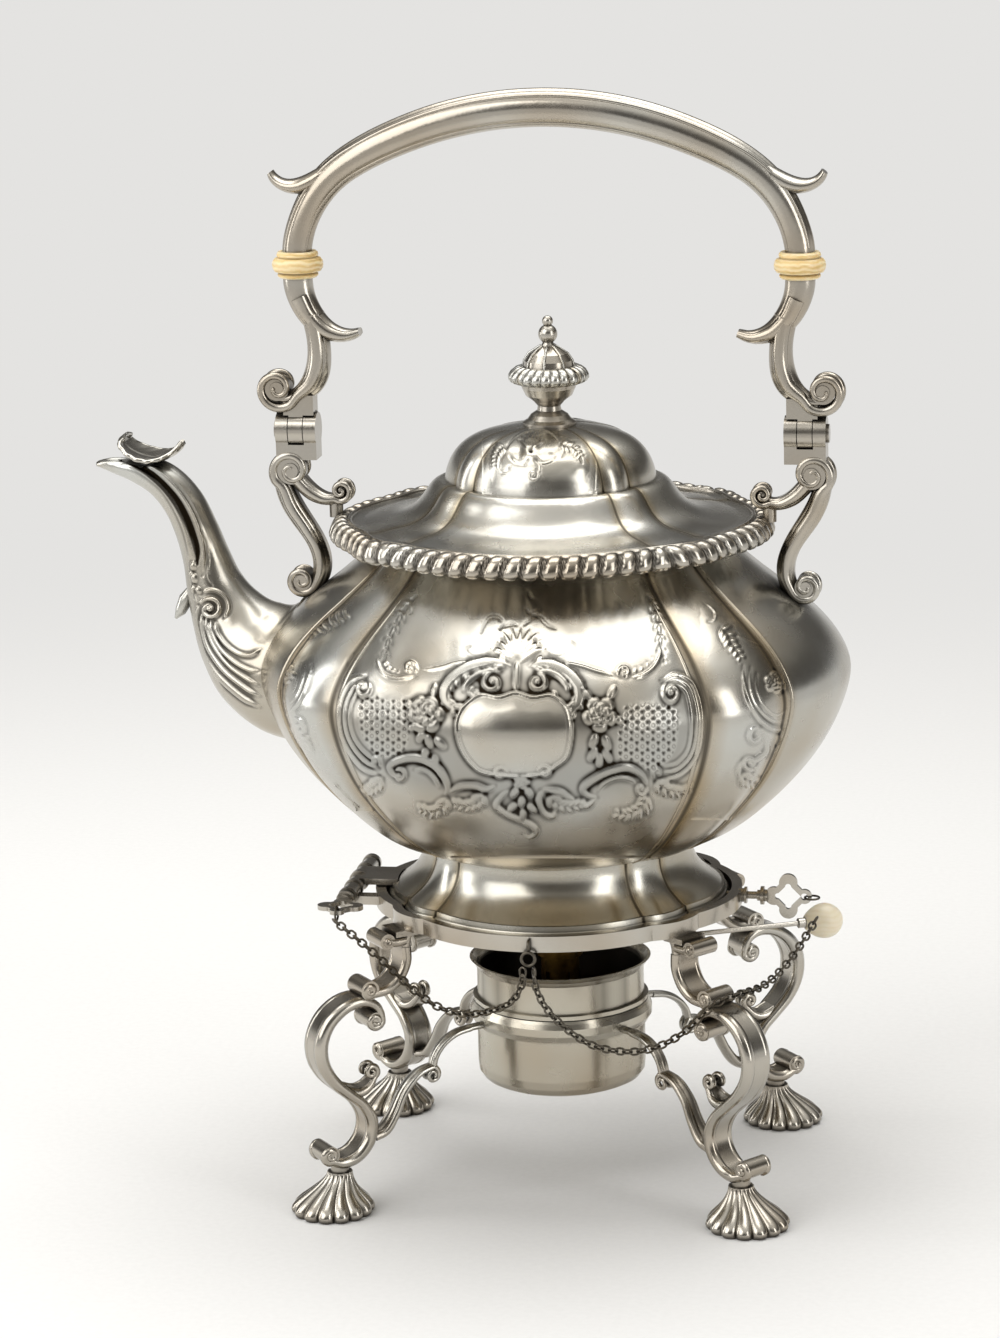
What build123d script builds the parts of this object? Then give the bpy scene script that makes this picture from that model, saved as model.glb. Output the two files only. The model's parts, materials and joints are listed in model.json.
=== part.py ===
"""Spirit kettle on its stand: a lobed silver kettle with a swinging bail handle and a hinged lid.

The kettle's foot sits in the ring of a four-legged scroll stand and tilts about a long knuckle
hinge on the spout's side. Chained pins hold it: one is the hinge's own pin, the other locks
the far side. A spirit lamp with a turning regulator hangs in a smaller ring below.

Millimetres. Z is up from the table. The spout points to -X and the viewer stands at -Y.
"""
from build123d import *
import math
import os

os.makedirs("parts", exist_ok=True)

# ---- fits -------------------------------------------------------------------------------
GAP = 0.3  # between separate bodies
RUNNING = 0.05  # radial clearance of a pin in its knuckle

# ---- lobed plan, shared by body, foot, lid, ring and lamp -------------------------------
FRONT_CREASE = 40.0  # degrees from the front and back axes to the first crease
SIDE_CREASE = 60.0  # and to the second, with a narrow corner lobe between them
CREASE_DEPTH = 0.044  # crease depth for each millimetre of radius
CORNER_DROP = 0.012  # how far the corner lobes stay inside the full radius

# ---- stand ------------------------------------------------------------------------------
RING_BOTTOM = 98.0
RING_HEIGHT = 5.5
RING_RADIUS = 64.4
RING_WALL = 3.6
LEDGE_THICKNESS = 1.2
LEDGE_WIDTH = 7.0
LEG_ANGLE = 52.0  # degrees from the front and back axes
LEG_WIDTH = 11.0
STRAP = 3.0
STRAP_CORNER = 0.42  # corner radius of a strap for each millimetre of its thickness
ANKLE_OUT = 24.1  # from the ring's edge to an ankle
ANKLE_RADIUS = 3.2
ANKLE_TOP = 18.0
FOOT_LEAN = 3.0  # from an ankle to its foot's centre
FOOT_RADIUS = 14.4
FOOT_HEIGHT = 14.4
FLUTES = 14
STRUT_ROOT_Z = 24.8
STRUT_BALL = 1.9

# ---- lamp -------------------------------------------------------------------------------
LAMP_RADIUS = 29.6
LAMP_BOTTOM = 34.0
LAMP_TOP = 78.0
LAMP_WALL = 1.0
LAMP_RING_BOTTOM = 55.0
LAMP_RING_TOP = 62.7
LAMP_RING_WALL = 2.2
LAMP_CREASE = 0.016
LAMP_COVER = 58.0
COVER_THICKNESS = 1.2
WICK_TUBE_RADIUS = 5.2
WICK_RADIUS = 4.0
SLEEVE_WALL = 1.4
SLEEVE_COLLAR = 1.4
LEVER_RISE = 2.0  # the lever's height over the lamp's lip
LEVER_ANGLE = 26.0  # degrees from +X towards the back
LEVER_RADIUS = 0.9
LEVER_REACH = 92.0
LEVER_TANG = 3.4  # how far the lever reaches into its knob
KNOB_LENGTH = 14.0
KNOB_RADIUS = 6.3

# ---- kettle -----------------------------------------------------------------------------
FOOT_PLAY = 1.2  # radial play of the kettle's foot in the ring
FOOT_THICKNESS = 1.4
BODY_FLOOR = 22.5  # height of the foot
WAIST_RADIUS = 47.0
KETTLE_WALL = 1.3
MOUTH_RADIUS = 60.2
BODY_PROFILE = (  # height above the foot's bottom, radius
    (BODY_FLOOR, WAIST_RADIUS), (24.2, 54.5), (28.5, 64.0), (36.5, 74.5), (46.5, 84.5), (57.5, 93.0),
    (68.5, 98.8), (76.5, 101.6), (84.0, 102.5), (90.0, 100.6), (96.5, 96.4), (102.0, 91.2),
    (107.0, 85.4), (113.0, 77.6), (119.0, 70.2), (125.5, 63.6), (130.5, 61.5),
)
RIM_RADIUS = 76.8
RIM_HEIGHT = 5.6
RIM_SEAT = 3.2  # the lid's flange sits this far above the rim's underside
GADROONS = 72
GADROON_DEPTH = 0.9

# ---- lid --------------------------------------------------------------------------------
LID_RADIUS = 68.8
LID_WALL = 1.2
LID_EDGE = 1.4
LID_PROFILE = (  # height above the lid's seat, radius
    (LID_EDGE, LID_RADIUS), (2.2, 60.5), (3.0, 54.6), (4.8, 49.4), (7.6, 45.8), (11.0, 43.2),
    (13.8, 41.0), (15.2, 38.4),
)
DOME_PROFILE = (
    (14.4, 36.6), (16.0, 36.4), (20.5, 35.2), (26.0, 31.8), (30.0, 26.2), (32.4, 18.4),
    (33.6, 9.6),
)
LID_CREASE = 0.06
BEZEL_DEPTH = 4.6
BEZEL_WALL = 1.2
BEZEL_PLAY = 0.6
LID_HINGE_OUT = 12.8  # from the mouth's edge to the lid's hinge
KNUCKLE_RADIUS = 2.5
LID_KNUCKLE = 9.0
LID_PIN_RADIUS = 1.1
FINIAL_STUD = 1.8

# ---- bail handle ------------------------------------------------------------------------
HANDLE_X = 88.0
HANDLE_RISE = 34.7  # from the rim's underside to the handle's hinges
BARREL_RADIUS = 6.0
BARREL_LENGTH = 14.2
BARREL_MIDDLE = 5.0
HINGE_PIN_RADIUS = 2.2
INSULATOR_RISE = 52.9  # heights above the handle's hinges
INSULATOR_HEIGHT = 9.0
INSULATOR_RADIUS = 8.8
INSULATOR_NECK = 7.0
GRIP_END_X = 86.3
GRIP_SHOULDER = (66.0, 92.7)
GRIP_RISE = 110.3
GRIP_DEPTH = 13.8
GRIP_WIDTH = 12.6
GRIP_TAPER = 0.76  # size of the grip's ends for each millimetre of its middle
REED_RADIUS = 2.4

# ---- tilting hinge and the pins ---------------------------------------------------------
TILT_OUT = 6.6  # from the ring's edge to the hinge's axis
TILT_DROP = 0.1  # from the ring's top down to the hinge's axis
TILT_KNUCKLE = 2.9
TILT_LENGTH = 46.0
TILT_MIDDLE = 18.0
PIN_RADIUS = 1.3
LOCK_RISE = 3.4  # the lock pin's height above the ring's underside
LOCK_SOCKET_RADIUS = 2.4
LOCK_SOCKET_LENGTH = 2.0
LOCK_STAND_OFF = 3.6  # from the socket to the lock pin's collar
LOCK_ENGAGEMENT = 4.2  # how far the lock pin reaches into the kettle's foot
PLATE_LENGTH = 16.4
PLATE_WIDTH = 16.0
PLATE_THICKNESS = 1.5
PLATE_NECK = 2.6

# ---- chains -----------------------------------------------------------------------------
WIRE = 0.75
LINK_LENGTH = 3.8
LINK_WIDTH = 3.1
LINK_PLAY = 0.12
HOOK_OUT = 2.6

# ---- spout ------------------------------------------------------------------------------
SPOUT_WALL = 1.4
SPOUT_TIP = (-159.5, 151.9)  # x, height above the foot's bottom
SPOUT_STATIONS = (  # x, height above the foot's bottom, height and width of the section
    (-86.0, 80.5, 52.0, 54.0), (-96.0, 81.0, 49.5, 50.0), (-104.2, 83.8, 42.6, 42.6),
    (-111.0, 88.6, 37.0, 35.0), (-116.2, 95.0, 31.4, 28.6), (-119.8, 102.6, 26.4, 23.6),
    (-122.0, 111.0, 20.6, 19.4), (-124.0, 119.6, 17.0, 16.8), (-127.0, 130.4, 14.9, 15.2),
    (-131.0, 140.0, 14.5, 14.6), (-137.2, 147.4, 14.2, 15.0),
)
BEAK_STATIONS = (
    (-143.6, 150.4, 11.0, 14.0), (-150.0, 151.6, 7.0, 10.6), (-155.6, 152.2, 3.6, 6.2),
    (SPOUT_TIP[0], SPOUT_TIP[1], 1.2, 2.6),
)
TROUGH_STATIONS = (
    (-137.6, 149.0, 11.0, 11.6), (-144.4, 153.6, 9.6, 10.6), (-151.0, 155.4, 6.6, 7.4),
    (-157.0, 155.6, 4.4, 3.6),
)
LEAF_STATIONS = (
    (-129.2, 159.6, 1.4, 5.0), (-131.2, 156.0, 2.2, 9.6), (-136.0, 154.0, 3.0, 13.0),
    (-142.0, 155.2, 2.6, 14.6), (-147.4, 158.2, 2.2, 14.0), (-150.4, 162.2, 1.4, 9.0),
)

# ---- places that follow from the sizes --------------------------------------------------
# The part's origin is the middle of its footprint on the table.
STAND_AXIS_X = (-SPOUT_TIP[0] - max(radius for height, radius in BODY_PROFILE)) / 2
RING_TOP = RING_BOTTOM + RING_HEIGHT
ANKLE_REACH = RING_RADIUS + ANKLE_OUT
LAMP_BORE = LAMP_RADIUS + GAP
LAMP_RING_EDGE = LAMP_BORE + LAMP_RING_WALL
LEVER_HEIGHT = LAMP_TOP + LEVER_RISE
SLEEVE_RADIUS = WICK_TUBE_RADIUS + RUNNING + SLEEVE_WALL
COLLAR_RADIUS = SLEEVE_RADIUS + SLEEVE_COLLAR
KETTLE_BASE = RING_BOTTOM + LEDGE_THICKNESS + GAP
KETTLE_FOOT_RADIUS = RING_RADIUS - RING_WALL - FOOT_PLAY
RIM_BOTTOM = KETTLE_BASE + BODY_PROFILE[-1][0]
RIM_TOP = RIM_BOTTOM + RIM_HEIGHT
LID_SEAT = RIM_BOTTOM + RIM_SEAT + GAP
LID_HINGE_Y = MOUTH_RADIUS + LID_HINGE_OUT
LID_AXIS_Z = RIM_TOP + GAP + KNUCKLE_RADIUS + 0.2
FINIAL_BASE = LID_SEAT + DOME_PROFILE[-1][0]
HANDLE_AXIS_Z = RIM_BOTTOM + HANDLE_RISE
INSULATOR_BOTTOM = HANDLE_AXIS_Z + INSULATOR_RISE
TILT_X = -RING_RADIUS - TILT_OUT
TILT_Z = RING_TOP - TILT_DROP
LOCK_Z = RING_BOTTOM + LOCK_RISE
LOCK_COLLAR_X = RING_RADIUS + LOCK_SOCKET_LENGTH + LOCK_STAND_OFF
LOCK_SHANK = LOCK_COLLAR_X - KETTLE_FOOT_RADIUS + LOCK_ENGAGEMENT
HINGE_COLLAR_Y = TILT_LENGTH / 2 + 0.8
HOOK_Y = -RING_RADIUS - HOOK_OUT


# ---- shared helpers ---------------------------------------------------------------------
def polar(radius, degrees, z=0.0):
    """Point at an angle from the front axis (-Y), positive towards +X."""
    angle = math.radians(degrees)
    return (radius * math.sin(angle), -radius * math.cos(angle), z)


def lobe_bounds():
    """The eight creases around the plan, as angles from the front axis."""
    first = [-FRONT_CREASE, FRONT_CREASE, SIDE_CREASE, 180 - SIDE_CREASE, 180 - FRONT_CREASE]
    return first + [180 + FRONT_CREASE, 180 + SIDE_CREASE, 360 - SIDE_CREASE, 360 - FRONT_CREASE]


def lobed_wire(radius, z, crease=CREASE_DEPTH):
    """Plan of eight arcs that meet in inward creases, at one height."""
    bounds = lobe_bounds()
    arcs = []
    for start, end in zip(bounds[:-1], bounds[1:]):
        narrow = end - start < 30
        crest = radius * (1 - (CORNER_DROP if narrow else 0.0))
        root = radius * (1 - crease)
        middle = (start + end) / 2
        arcs.append(ThreePointArc(polar(root, start, z), polar(crest, middle, z), polar(root, end, z)))
    return Wire(arcs)


def lobed_loft(profile, base=0.0, crease=CREASE_DEPTH, ruled=False):
    """Closed solid through lobed plans at (height, radius) stations."""
    faces = [Face(lobed_wire(radius, base + height, crease)) for height, radius in profile]
    return loft(faces, ruled=ruled)


def inset(profile, wall):
    """The profile moved inwards by one wall, square to its own slope."""
    last = len(profile) - 1
    moved = []
    for index, (height, radius) in enumerate(profile):
        low = profile[max(index - 1, 0)]
        high = profile[min(index + 1, last)]
        rise = high[0] - low[0]
        run = high[1] - low[1]
        length = math.hypot(rise, run)
        moved.append((height + wall * run / length, radius - wall * rise / length))
    return moved


def scalloped_wire(radius, z, count, depth, turn=0.0, centre=(0.0, 0.0), crease=0.0):
    """Closed outline of convex scallops; with a crease it follows the lobed plan."""
    step = 360.0 / count

    def reach(degrees):
        if not crease:
            return radius
        bounds = lobe_bounds()
        angle = (degrees - bounds[0]) % 360 + bounds[0]
        for start, end in zip(bounds[:-1], bounds[1:]):
            if start <= angle <= end:
                across = (2 * angle - start - end) / (end - start)
                return radius * (1 - crease * across ** 2)
        return radius

    def place(extra, degrees):
        x, y, height = polar(reach(degrees) - extra, degrees + turn, z)
        return (x + centre[0], y + centre[1], height)

    arcs = []
    for number in range(count):
        start = number * step
        middle = start + step / 2
        end = start + step
        arcs.append(ThreePointArc(place(depth, start), place(0, middle), place(depth, end % 360)))
    return Wire(arcs)


def limb(stations, corner=None, origin=(0.0, 0.0)):
    """Tapering limb in the XZ plane through stations (x, z, thickness, width) from an origin.

    Sections are ovals, or straps with rounded corners where a corner share is given.
    """
    last = len(stations) - 1
    sections = []
    for index, (x, z, thickness, width) in enumerate(stations):
        before = stations[max(index - 1, 0)]
        after = stations[min(index + 1, last)]
        direction = (after[0] - before[0], 0, after[1] - before[1])
        plane = Plane(origin=(origin[0] + x, 0, origin[1] + z), x_dir=(0, 1, 0), z_dir=direction)
        if corner:
            outline = RectangleRounded(width, thickness, corner * thickness)
        else:
            outline = Ellipse(width / 2, thickness / 2)
        sections.append(plane * outline)
    return loft(sections)


def roll(x, z, radius, width, boss=0.55):
    """Volute end: a roll across the limb with a small raised eye at each side."""
    drum = Pos(x, 0, z) * Cylinder(radius, width, rotation=(90, 0, 0))
    eye = Pos(x, 0, z) * Cylinder(radius * boss, width + 0.8, rotation=(90, 0, 0))
    return drum + eye


def barrel(start_x, end_x, radius, z):
    """Plain cylinder along X between two stations."""
    middle = (start_x + end_x) / 2
    return Pos(middle, 0, z) * Cylinder(radius, end_x - start_x, rotation=(0, 90, 0))


def barrel_y(x, start_y, end_y, radius, z):
    """Plain cylinder along Y between two stations."""
    middle = (start_y + end_y) / 2
    return Pos(x, middle, z) * Cylinder(radius, end_y - start_y, rotation=(90, 0, 0))


def tube(radius, wall, bottom, top):
    """Round tube on the Z axis."""
    middle = (bottom + top) / 2
    return Pos(0, 0, middle) * (Cylinder(radius, top - bottom) - Cylinder(radius - wall, top - bottom))


def turned(points):
    """Solid of revolution from (radius, height) points."""
    outline = Polyline([(radius, 0, height) for radius, height in points], close=True)
    return revolve(make_face(outline), Axis.Z)


# ---- stand ------------------------------------------------------------------------------
def lobed_ring(outer, inner, bottom, top, crease=CREASE_DEPTH):
    """Lobed band of one height between two radii."""
    around = lobed_loft(((bottom, outer), (top, outer)), crease=crease, ruled=True)
    inside = lobed_loft(((bottom - 1, inner), (top + 1, inner)), crease=crease, ruled=True)
    return around - inside


def stand_ring():
    """Band with an inner ledge for the kettle's foot, and a hole for the lock pin."""
    inner = RING_RADIUS - RING_WALL
    band = lobed_ring(RING_RADIUS, inner, RING_BOTTOM, RING_TOP)
    ledge = lobed_ring(inner + 0.5, inner - LEDGE_WIDTH, RING_BOTTOM, RING_BOTTOM + LEDGE_THICKNESS)
    hole = barrel(inner - 5, RING_RADIUS + 5, PIN_RADIUS + RUNNING, LOCK_Z)
    return band + ledge - hole


def lock_socket():
    """Short boss outside the band that guides the lock pin."""
    start = RING_RADIUS - 0.9
    end = RING_RADIUS + LOCK_SOCKET_LENGTH
    boss = barrel(start, end, LOCK_SOCKET_RADIUS, LOCK_Z)
    bead = barrel(end - 0.9, end, LOCK_SOCKET_RADIUS + 0.5, LOCK_Z)
    hole = barrel(start - 5, end + 5, PIN_RADIUS + RUNNING, LOCK_Z)
    return boss + bead - hole - stand_ring()


def scroll_leg():
    """One leg in the XZ plane: a short upper scroll under the ring and a large C scroll below it."""
    wide = LEG_WIDTH
    edge = RING_RADIUS
    under = (edge, RING_BOTTOM)
    ground = (edge, 0.0)
    pad = Pos(edge - 1.9, 0, RING_BOTTOM - 1.0) * Box(9.0, wide, 2.0)
    upper = limb(
        ((-3.4, -1.2, STRAP, wide), (-1.8, -6.0, STRAP, wide), (-1.7, -11.5, STRAP, wide),
         (1.2, -17.0, STRAP, wide), (6.0, -20.2, STRAP, wide), (11.6, -20.8, STRAP, wide)),
        STRAP_CORNER, under)
    brow = limb(((-1.4, -3.6, STRAP, wide), (2.1, -3.8, STRAP, wide), (5.2, -3.0, STRAP, wide)),
                STRAP_CORNER, under)
    drop = RING_BOTTOM
    large = limb(
        ((8.5, drop - 30.4, 2.2, wide), (10.4, drop - 25.4, 2.8, wide), (15.4, drop - 23.0, 3.4, wide),
         (22.2, drop - 24.2, 3.8, wide), (28.2, drop - 28.8, 4.2, wide), (31.4, drop - 35.6, 4.4, wide),
         (31.0, 55.0, 4.2, wide), (27.4, 48.4, 3.8, wide), (21.8, 43.0, 3.4, wide),
         (16.4, 38.0, 3.4, wide), (13.2, 31.6, 3.8, wide), (14.2, 25.0, 4.0, wide),
         (18.6, 20.0, 3.8, wide), (24.4, 18.4, 3.4, wide), (28.8, 19.8, 2.6, wide)),
        STRAP_CORNER, ground)
    leaf = limb(((22.0, 43.8, 3.0, wide * 0.8), (17.4, 42.2, 3.0, wide * 0.8),
                 (13.4, 43.4, 2.4, wide * 0.7), (10.8, 46.4, 1.8, wide * 0.5)), STRAP_CORNER, ground)
    ankle_middle = (FOOT_HEIGHT + ANKLE_TOP) / 2
    ankle = Pos(ANKLE_REACH, 0, ankle_middle) * Cylinder(ANKLE_RADIUS, ANKLE_TOP - FOOT_HEIGHT)
    leg = pad + upper + brow + large + leaf + ankle
    for out, z, radius in ((5.8, drop - 3.0, 2.8), (13.0, drop - 19.2, 3.4), (11.2, drop - 30.4, 3.1),
                           (29.8, 22.2, 3.2)):
        leg = leg + roll(edge + out, z, radius, wide)
    return leg


def shell_foot():
    """Fluted shell that spreads from the ankle to the table."""
    sections = []
    for z, radius, depth, shift in (
            (0.0, FOOT_RADIUS - 1.0, 1.4, 1.0), (2.4, FOOT_RADIUS, 1.9, 1.0),
            (5.2, FOOT_RADIUS - 2.2, 1.7, 0.9), (8.6, FOOT_RADIUS - 6.2, 1.2, 0.6),
            (11.8, FOOT_RADIUS - 9.0, 0.6, 0.2), (FOOT_HEIGHT, FOOT_RADIUS - 10.0, 0.3, 0.0)):
        centre = (ANKLE_REACH + FOOT_LEAN * shift, 0.0)
        sections.append(Face(scalloped_wire(radius, z, FLUTES, depth, centre=centre)))
    return loft(sections)


def strut():
    """Two thin scrolls with a small ball where they meet, from leg to lamp ring."""
    root = (RING_RADIUS + 11.2, STRUT_ROOT_Z)
    meet = (root[0] - 23.6, root[1] + 21.0)
    outer = limb(
        ((0.0, 0.0, 4.0, 6.4), (-4.6, 1.6, 3.8, 6.2), (-8.8, 7.2, 3.4, 5.6),
         (-12.4, 14.0, 3.0, 5.0), (-17.8, 19.2, 2.8, 4.4), (-23.6, 21.0, 2.4, 4.0)), origin=root)
    end = (LAMP_RING_EDGE - 0.6 - meet[0], LAMP_RING_BOTTOM + 2.4 - meet[1])
    inner = limb(
        ((-0.4, -0.2, 2.4, 3.6), (-1.4, 3.6, 2.4, 3.6), (-4.6, 7.6, 2.4, 3.6),
         (-9.6, end[1] - 1.2, 2.4, 3.6), (-15.4, end[1] - 0.2, 2.4, 3.6), (end[0], end[1], 2.4, 3.6)),
        origin=meet)
    ball = Pos(meet[0] + 0.2, 0, meet[1] - 1.2) * Sphere(STRUT_BALL)
    return outer + inner + ball


def lamp_ring():
    """Moulded ring that carries the lamp, with the lamp's own lobed plan."""
    inner = LAMP_BORE
    outer = LAMP_RING_EDGE
    profile = (
        (LAMP_RING_BOTTOM, inner + 0.8), (LAMP_RING_BOTTOM + 1.0, outer - 0.9),
        (LAMP_RING_BOTTOM + 2.4, outer), (LAMP_RING_BOTTOM + 5.0, outer),
        (LAMP_RING_TOP - 1.0, outer - 0.7), (LAMP_RING_TOP, inner + 1.0),
    )
    around = lobed_loft(profile, crease=LAMP_CREASE, ruled=True)
    inside = lobed_loft(((LAMP_RING_BOTTOM - 1, inner), (LAMP_RING_TOP + 1, inner)),
                        crease=LAMP_CREASE, ruled=True)
    return around - inside


def on_corner(shape, name):
    """Turn a shape made along +X to the named corner of the stand."""
    across = 90.0 - LEG_ANGLE
    turns = {"front_right": -across, "back_right": across,
             "front_left": 180.0 + across, "back_left": 180.0 - across}
    return Rot(0, 0, turns[name]) * shape


def stand_hinge():
    """Outer knuckles of the tilting hinge on arms from the ring."""
    pieces = []
    for side in (-1, 1):
        inner_y = side * (TILT_MIDDLE / 2 + GAP)
        outer_y = side * TILT_LENGTH / 2
        low, high = sorted((inner_y, outer_y))
        knuckle = barrel_y(TILT_X, low, high, TILT_KNUCKLE, TILT_Z)
        for ridge in (0.12, 0.88):
            place = low + (high - low) * ridge
            knuckle = knuckle + barrel_y(TILT_X, place - 0.9, place + 0.9, TILT_KNUCKLE + 0.5, TILT_Z)
        middle = (low + high) / 2
        reach = -RING_RADIUS + 6.0 - TILT_X
        arm = Pos(TILT_X + reach / 2, middle, TILT_Z - 2.2) * Box(reach, 5.0, 3.0)
        arm = arm - lobed_loft(((90, RING_RADIUS), (110, RING_RADIUS)), ruled=True)
        hole = barrel_y(TILT_X, -TILT_LENGTH, TILT_LENGTH, PIN_RADIUS + RUNNING, TILT_Z)
        pieces.append(knuckle + arm - hole)
    return pieces


def pin_plate():
    """Pierced quatrefoil handle of a pin, flat in the XZ plane, neck at the origin, towards +X."""
    half_length = PLATE_LENGTH / 2
    half_width = PLATE_WIDTH / 2
    lobe = PLATE_WIDTH * 0.20
    outline = Rectangle(PLATE_WIDTH * 0.64, PLATE_WIDTH * 0.64, rotation=45)
    hole = Rectangle(PLATE_WIDTH * 0.40, PLATE_WIDTH * 0.40, rotation=45)
    for x, y in ((0, half_width - lobe), (0, lobe - half_width), (lobe - half_length, 0)):
        outline = outline + Pos(x, y) * Circle(lobe)
        hole = hole + Pos(x * 0.72, y * 0.72) * Circle(lobe * 0.34)
    tip = Pos(half_length - lobe * 0.8, 0) * Circle(lobe * 0.8)
    eye = Pos(half_length - lobe * 0.8, 0) * Circle(lobe * 0.38)
    plate = extrude(outline + tip - hole - eye, PLATE_THICKNESS / 2, both=True)
    return Pos(half_length + PLATE_NECK, 0, 0) * (Rot(90, 0, 0) * plate)


def chained_pin(shank):
    """Pin along +X from the seat of its collar at the origin; the shank runs to -X."""
    body = barrel(-shank, 3.6, PIN_RADIUS, 0)
    tip = Pos(-shank, 0, 0) * Sphere(PIN_RADIUS)
    collar = barrel(0.0, 1.2, 1.9, 0) + barrel(1.2, 2.4, 3.2, 0) + barrel(2.4, 3.6, 2.1, 0)
    return body + tip + collar + pin_plate()


def plate_ring(radius=2.9):
    """Split ring through the plate's eye, where the chain starts."""
    eye_x = PLATE_NECK + PLATE_LENGTH - PLATE_WIDTH * 0.16
    centre = eye_x + radius - 0.3
    return Pos(centre, 0, -0.4) * Torus(radius - WIRE / 2, WIRE / 2)


def lock_pin_place(shape):
    """Put a pin shape at the ring's right end."""
    return Pos(LOCK_COLLAR_X, 0, LOCK_Z) * shape


def hinge_pin_place(shape):
    """Turn a pin shape to lie along -Y through the tilting hinge, its plate level."""
    return Pos(TILT_X, -HINGE_COLLAR_Y, TILT_Z) * (Rot(0, 0, -90) * (Rot(90, 0, 0) * shape))


def chain_link():
    """One oval link in the XY plane, long along X."""
    half = (LINK_LENGTH - LINK_WIDTH) / 2
    bend = (LINK_WIDTH - WIRE) / 2
    left = CenterArc((-half, 0), bend, 90, 180)
    right = CenterArc((half, 0), bend, -90, 180)
    top = Line((-half, bend), (half, bend))
    low = Line((-half, -bend), (half, -bend))
    path = Wire([top, right, low, left])
    section = Plane(origin=(0, bend, 0), z_dir=(1, 0, 0)) * Circle(WIRE / 2)
    return sweep(section, path=path)


def chain(route):
    """Links in turn along a smooth route, each a quarter turn from the last."""
    curve = Spline([Vector(*point) for point in route])
    pitch = LINK_LENGTH - 2 * WIRE + LINK_PLAY
    count = int(curve.length / pitch)
    link = chain_link()
    links = []
    for number in range(count):
        share = (number + 0.5) / count
        direction = curve % share
        side = Vector(0, 0, 1).cross(direction)
        plane = Plane(origin=curve @ share, x_dir=direction, z_dir=side.cross(direction))
        quarter = 90 * (number % 2) + 45
        links.append(plane * (Rot(quarter, 0, 0) * link))
    return links


def chain_hook():
    """Staple on the ring's front, its split ring and the links that both chains share."""
    front = RING_RADIUS
    staple = Pos(0, -front - 0.9, RING_BOTTOM + 2.6) * (Rot(0, 90, 0) * Torus(1.7, 0.55))
    staple = staple - lobed_loft(((90, front), (110, front)), ruled=True)
    big = Pos(0, -front - 2.6, RING_BOTTOM - 1.6) * (Rot(90, 0, 0) * Torus(2.3, 0.5))
    return [staple.solids()[0], big]


def hanging(points, end):
    """Route of a chain from (x, distance outside the ring, drop below it) to its pin's ring."""
    route = [(x, -RING_RADIUS - out, RING_BOTTOM - drop) for x, out, drop in points]
    return route + [end]


LEFT_ROUTE = hanging(
    ((-2.0, 2.6, 4.9), (-2.7, 2.8, 11.4), (-7.0, 1.6, 17.6), (-13.6, 0.2, 21.0),
     (-21.0, -2.0, 23.0), (-29.0, -4.0, 22.8), (-36.4, -5.8, 20.0), (-43.5, -7.4, 15.0),
     (-50.5, -8.8, 9.0), (-58.0, -11.0, 3.2), (-65.4, -13.8, -1.6)),
    (TILT_X + 0.4, -HINGE_COLLAR_Y - 24.4, TILT_Z - 0.8))
RIGHT_ROUTE = hanging(
    ((2.0, 2.6, 4.9), (2.7, 2.9, 12.0), (6.4, 2.4, 19.6), (12.4, 1.6, 26.0),
     (20.0, 0.2, 31.6), (28.6, -1.2, 34.2), (37.2, -2.6, 34.4), (46.0, -4.2, 31.6),
     (54.0, -5.8, 26.0), (60.8, -7.8, 19.6), (66.8, -12.0, 17.2), (71.8, -18.6, 17.4),
     (76.4, -28.4, 17.8), (81.6, -39.4, 15.0), (87.0, -50.4, 9.0)),
    (LOCK_COLLAR_X + 21.2, -5.6, LOCK_Z - 6.0))


# ---- kettle -----------------------------------------------------------------------------
def body_solid():
    """The body's outer form, closed."""
    return lobed_loft(BODY_PROFILE, KETTLE_BASE)


def body_hollow():
    """The space inside the body, open through the mouth."""
    inner = inset(BODY_PROFILE, KETTLE_WALL)
    inner[0] = (inner[0][0], inner[0][1] - 2.0)
    neck = [(BODY_PROFILE[-1][0] - 0.6, MOUTH_RADIUS), (BODY_PROFILE[-1][0] + 3.0, MOUTH_RADIUS)]
    return lobed_loft(inner[:-1] + neck, KETTLE_BASE)


def strainer():
    """Holes through the body's wall inside the root of the spout."""
    holes = []
    for row in range(-2, 3):
        for column in range(-2, 3):
            if abs(row) + abs(column) < 4:
                y = column * 5.6 + (row % 2) * 2.8
                holes.append(Pos(-95, y, 183 + row * 5.2) * Cylinder(1.5, 30, rotation=(0, 90, 0)))
    return holes


def kettle_body():
    """Lobed shell with the strainer behind the spout."""
    shell = body_solid() - body_hollow()
    return shell - strainer()


def foot_mouldings():
    """Two plain steps at the foot's edge, closed."""
    radius = KETTLE_FOOT_RADIUS
    edge = lobed_loft(((0.0, radius), (3.0, radius), (3.8, radius - 0.6)), KETTLE_BASE, ruled=True)
    middle = lobed_loft(((3.6, radius - 1.0), (5.6, radius - 1.4)), KETTLE_BASE, ruled=True)
    return edge + middle


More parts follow.
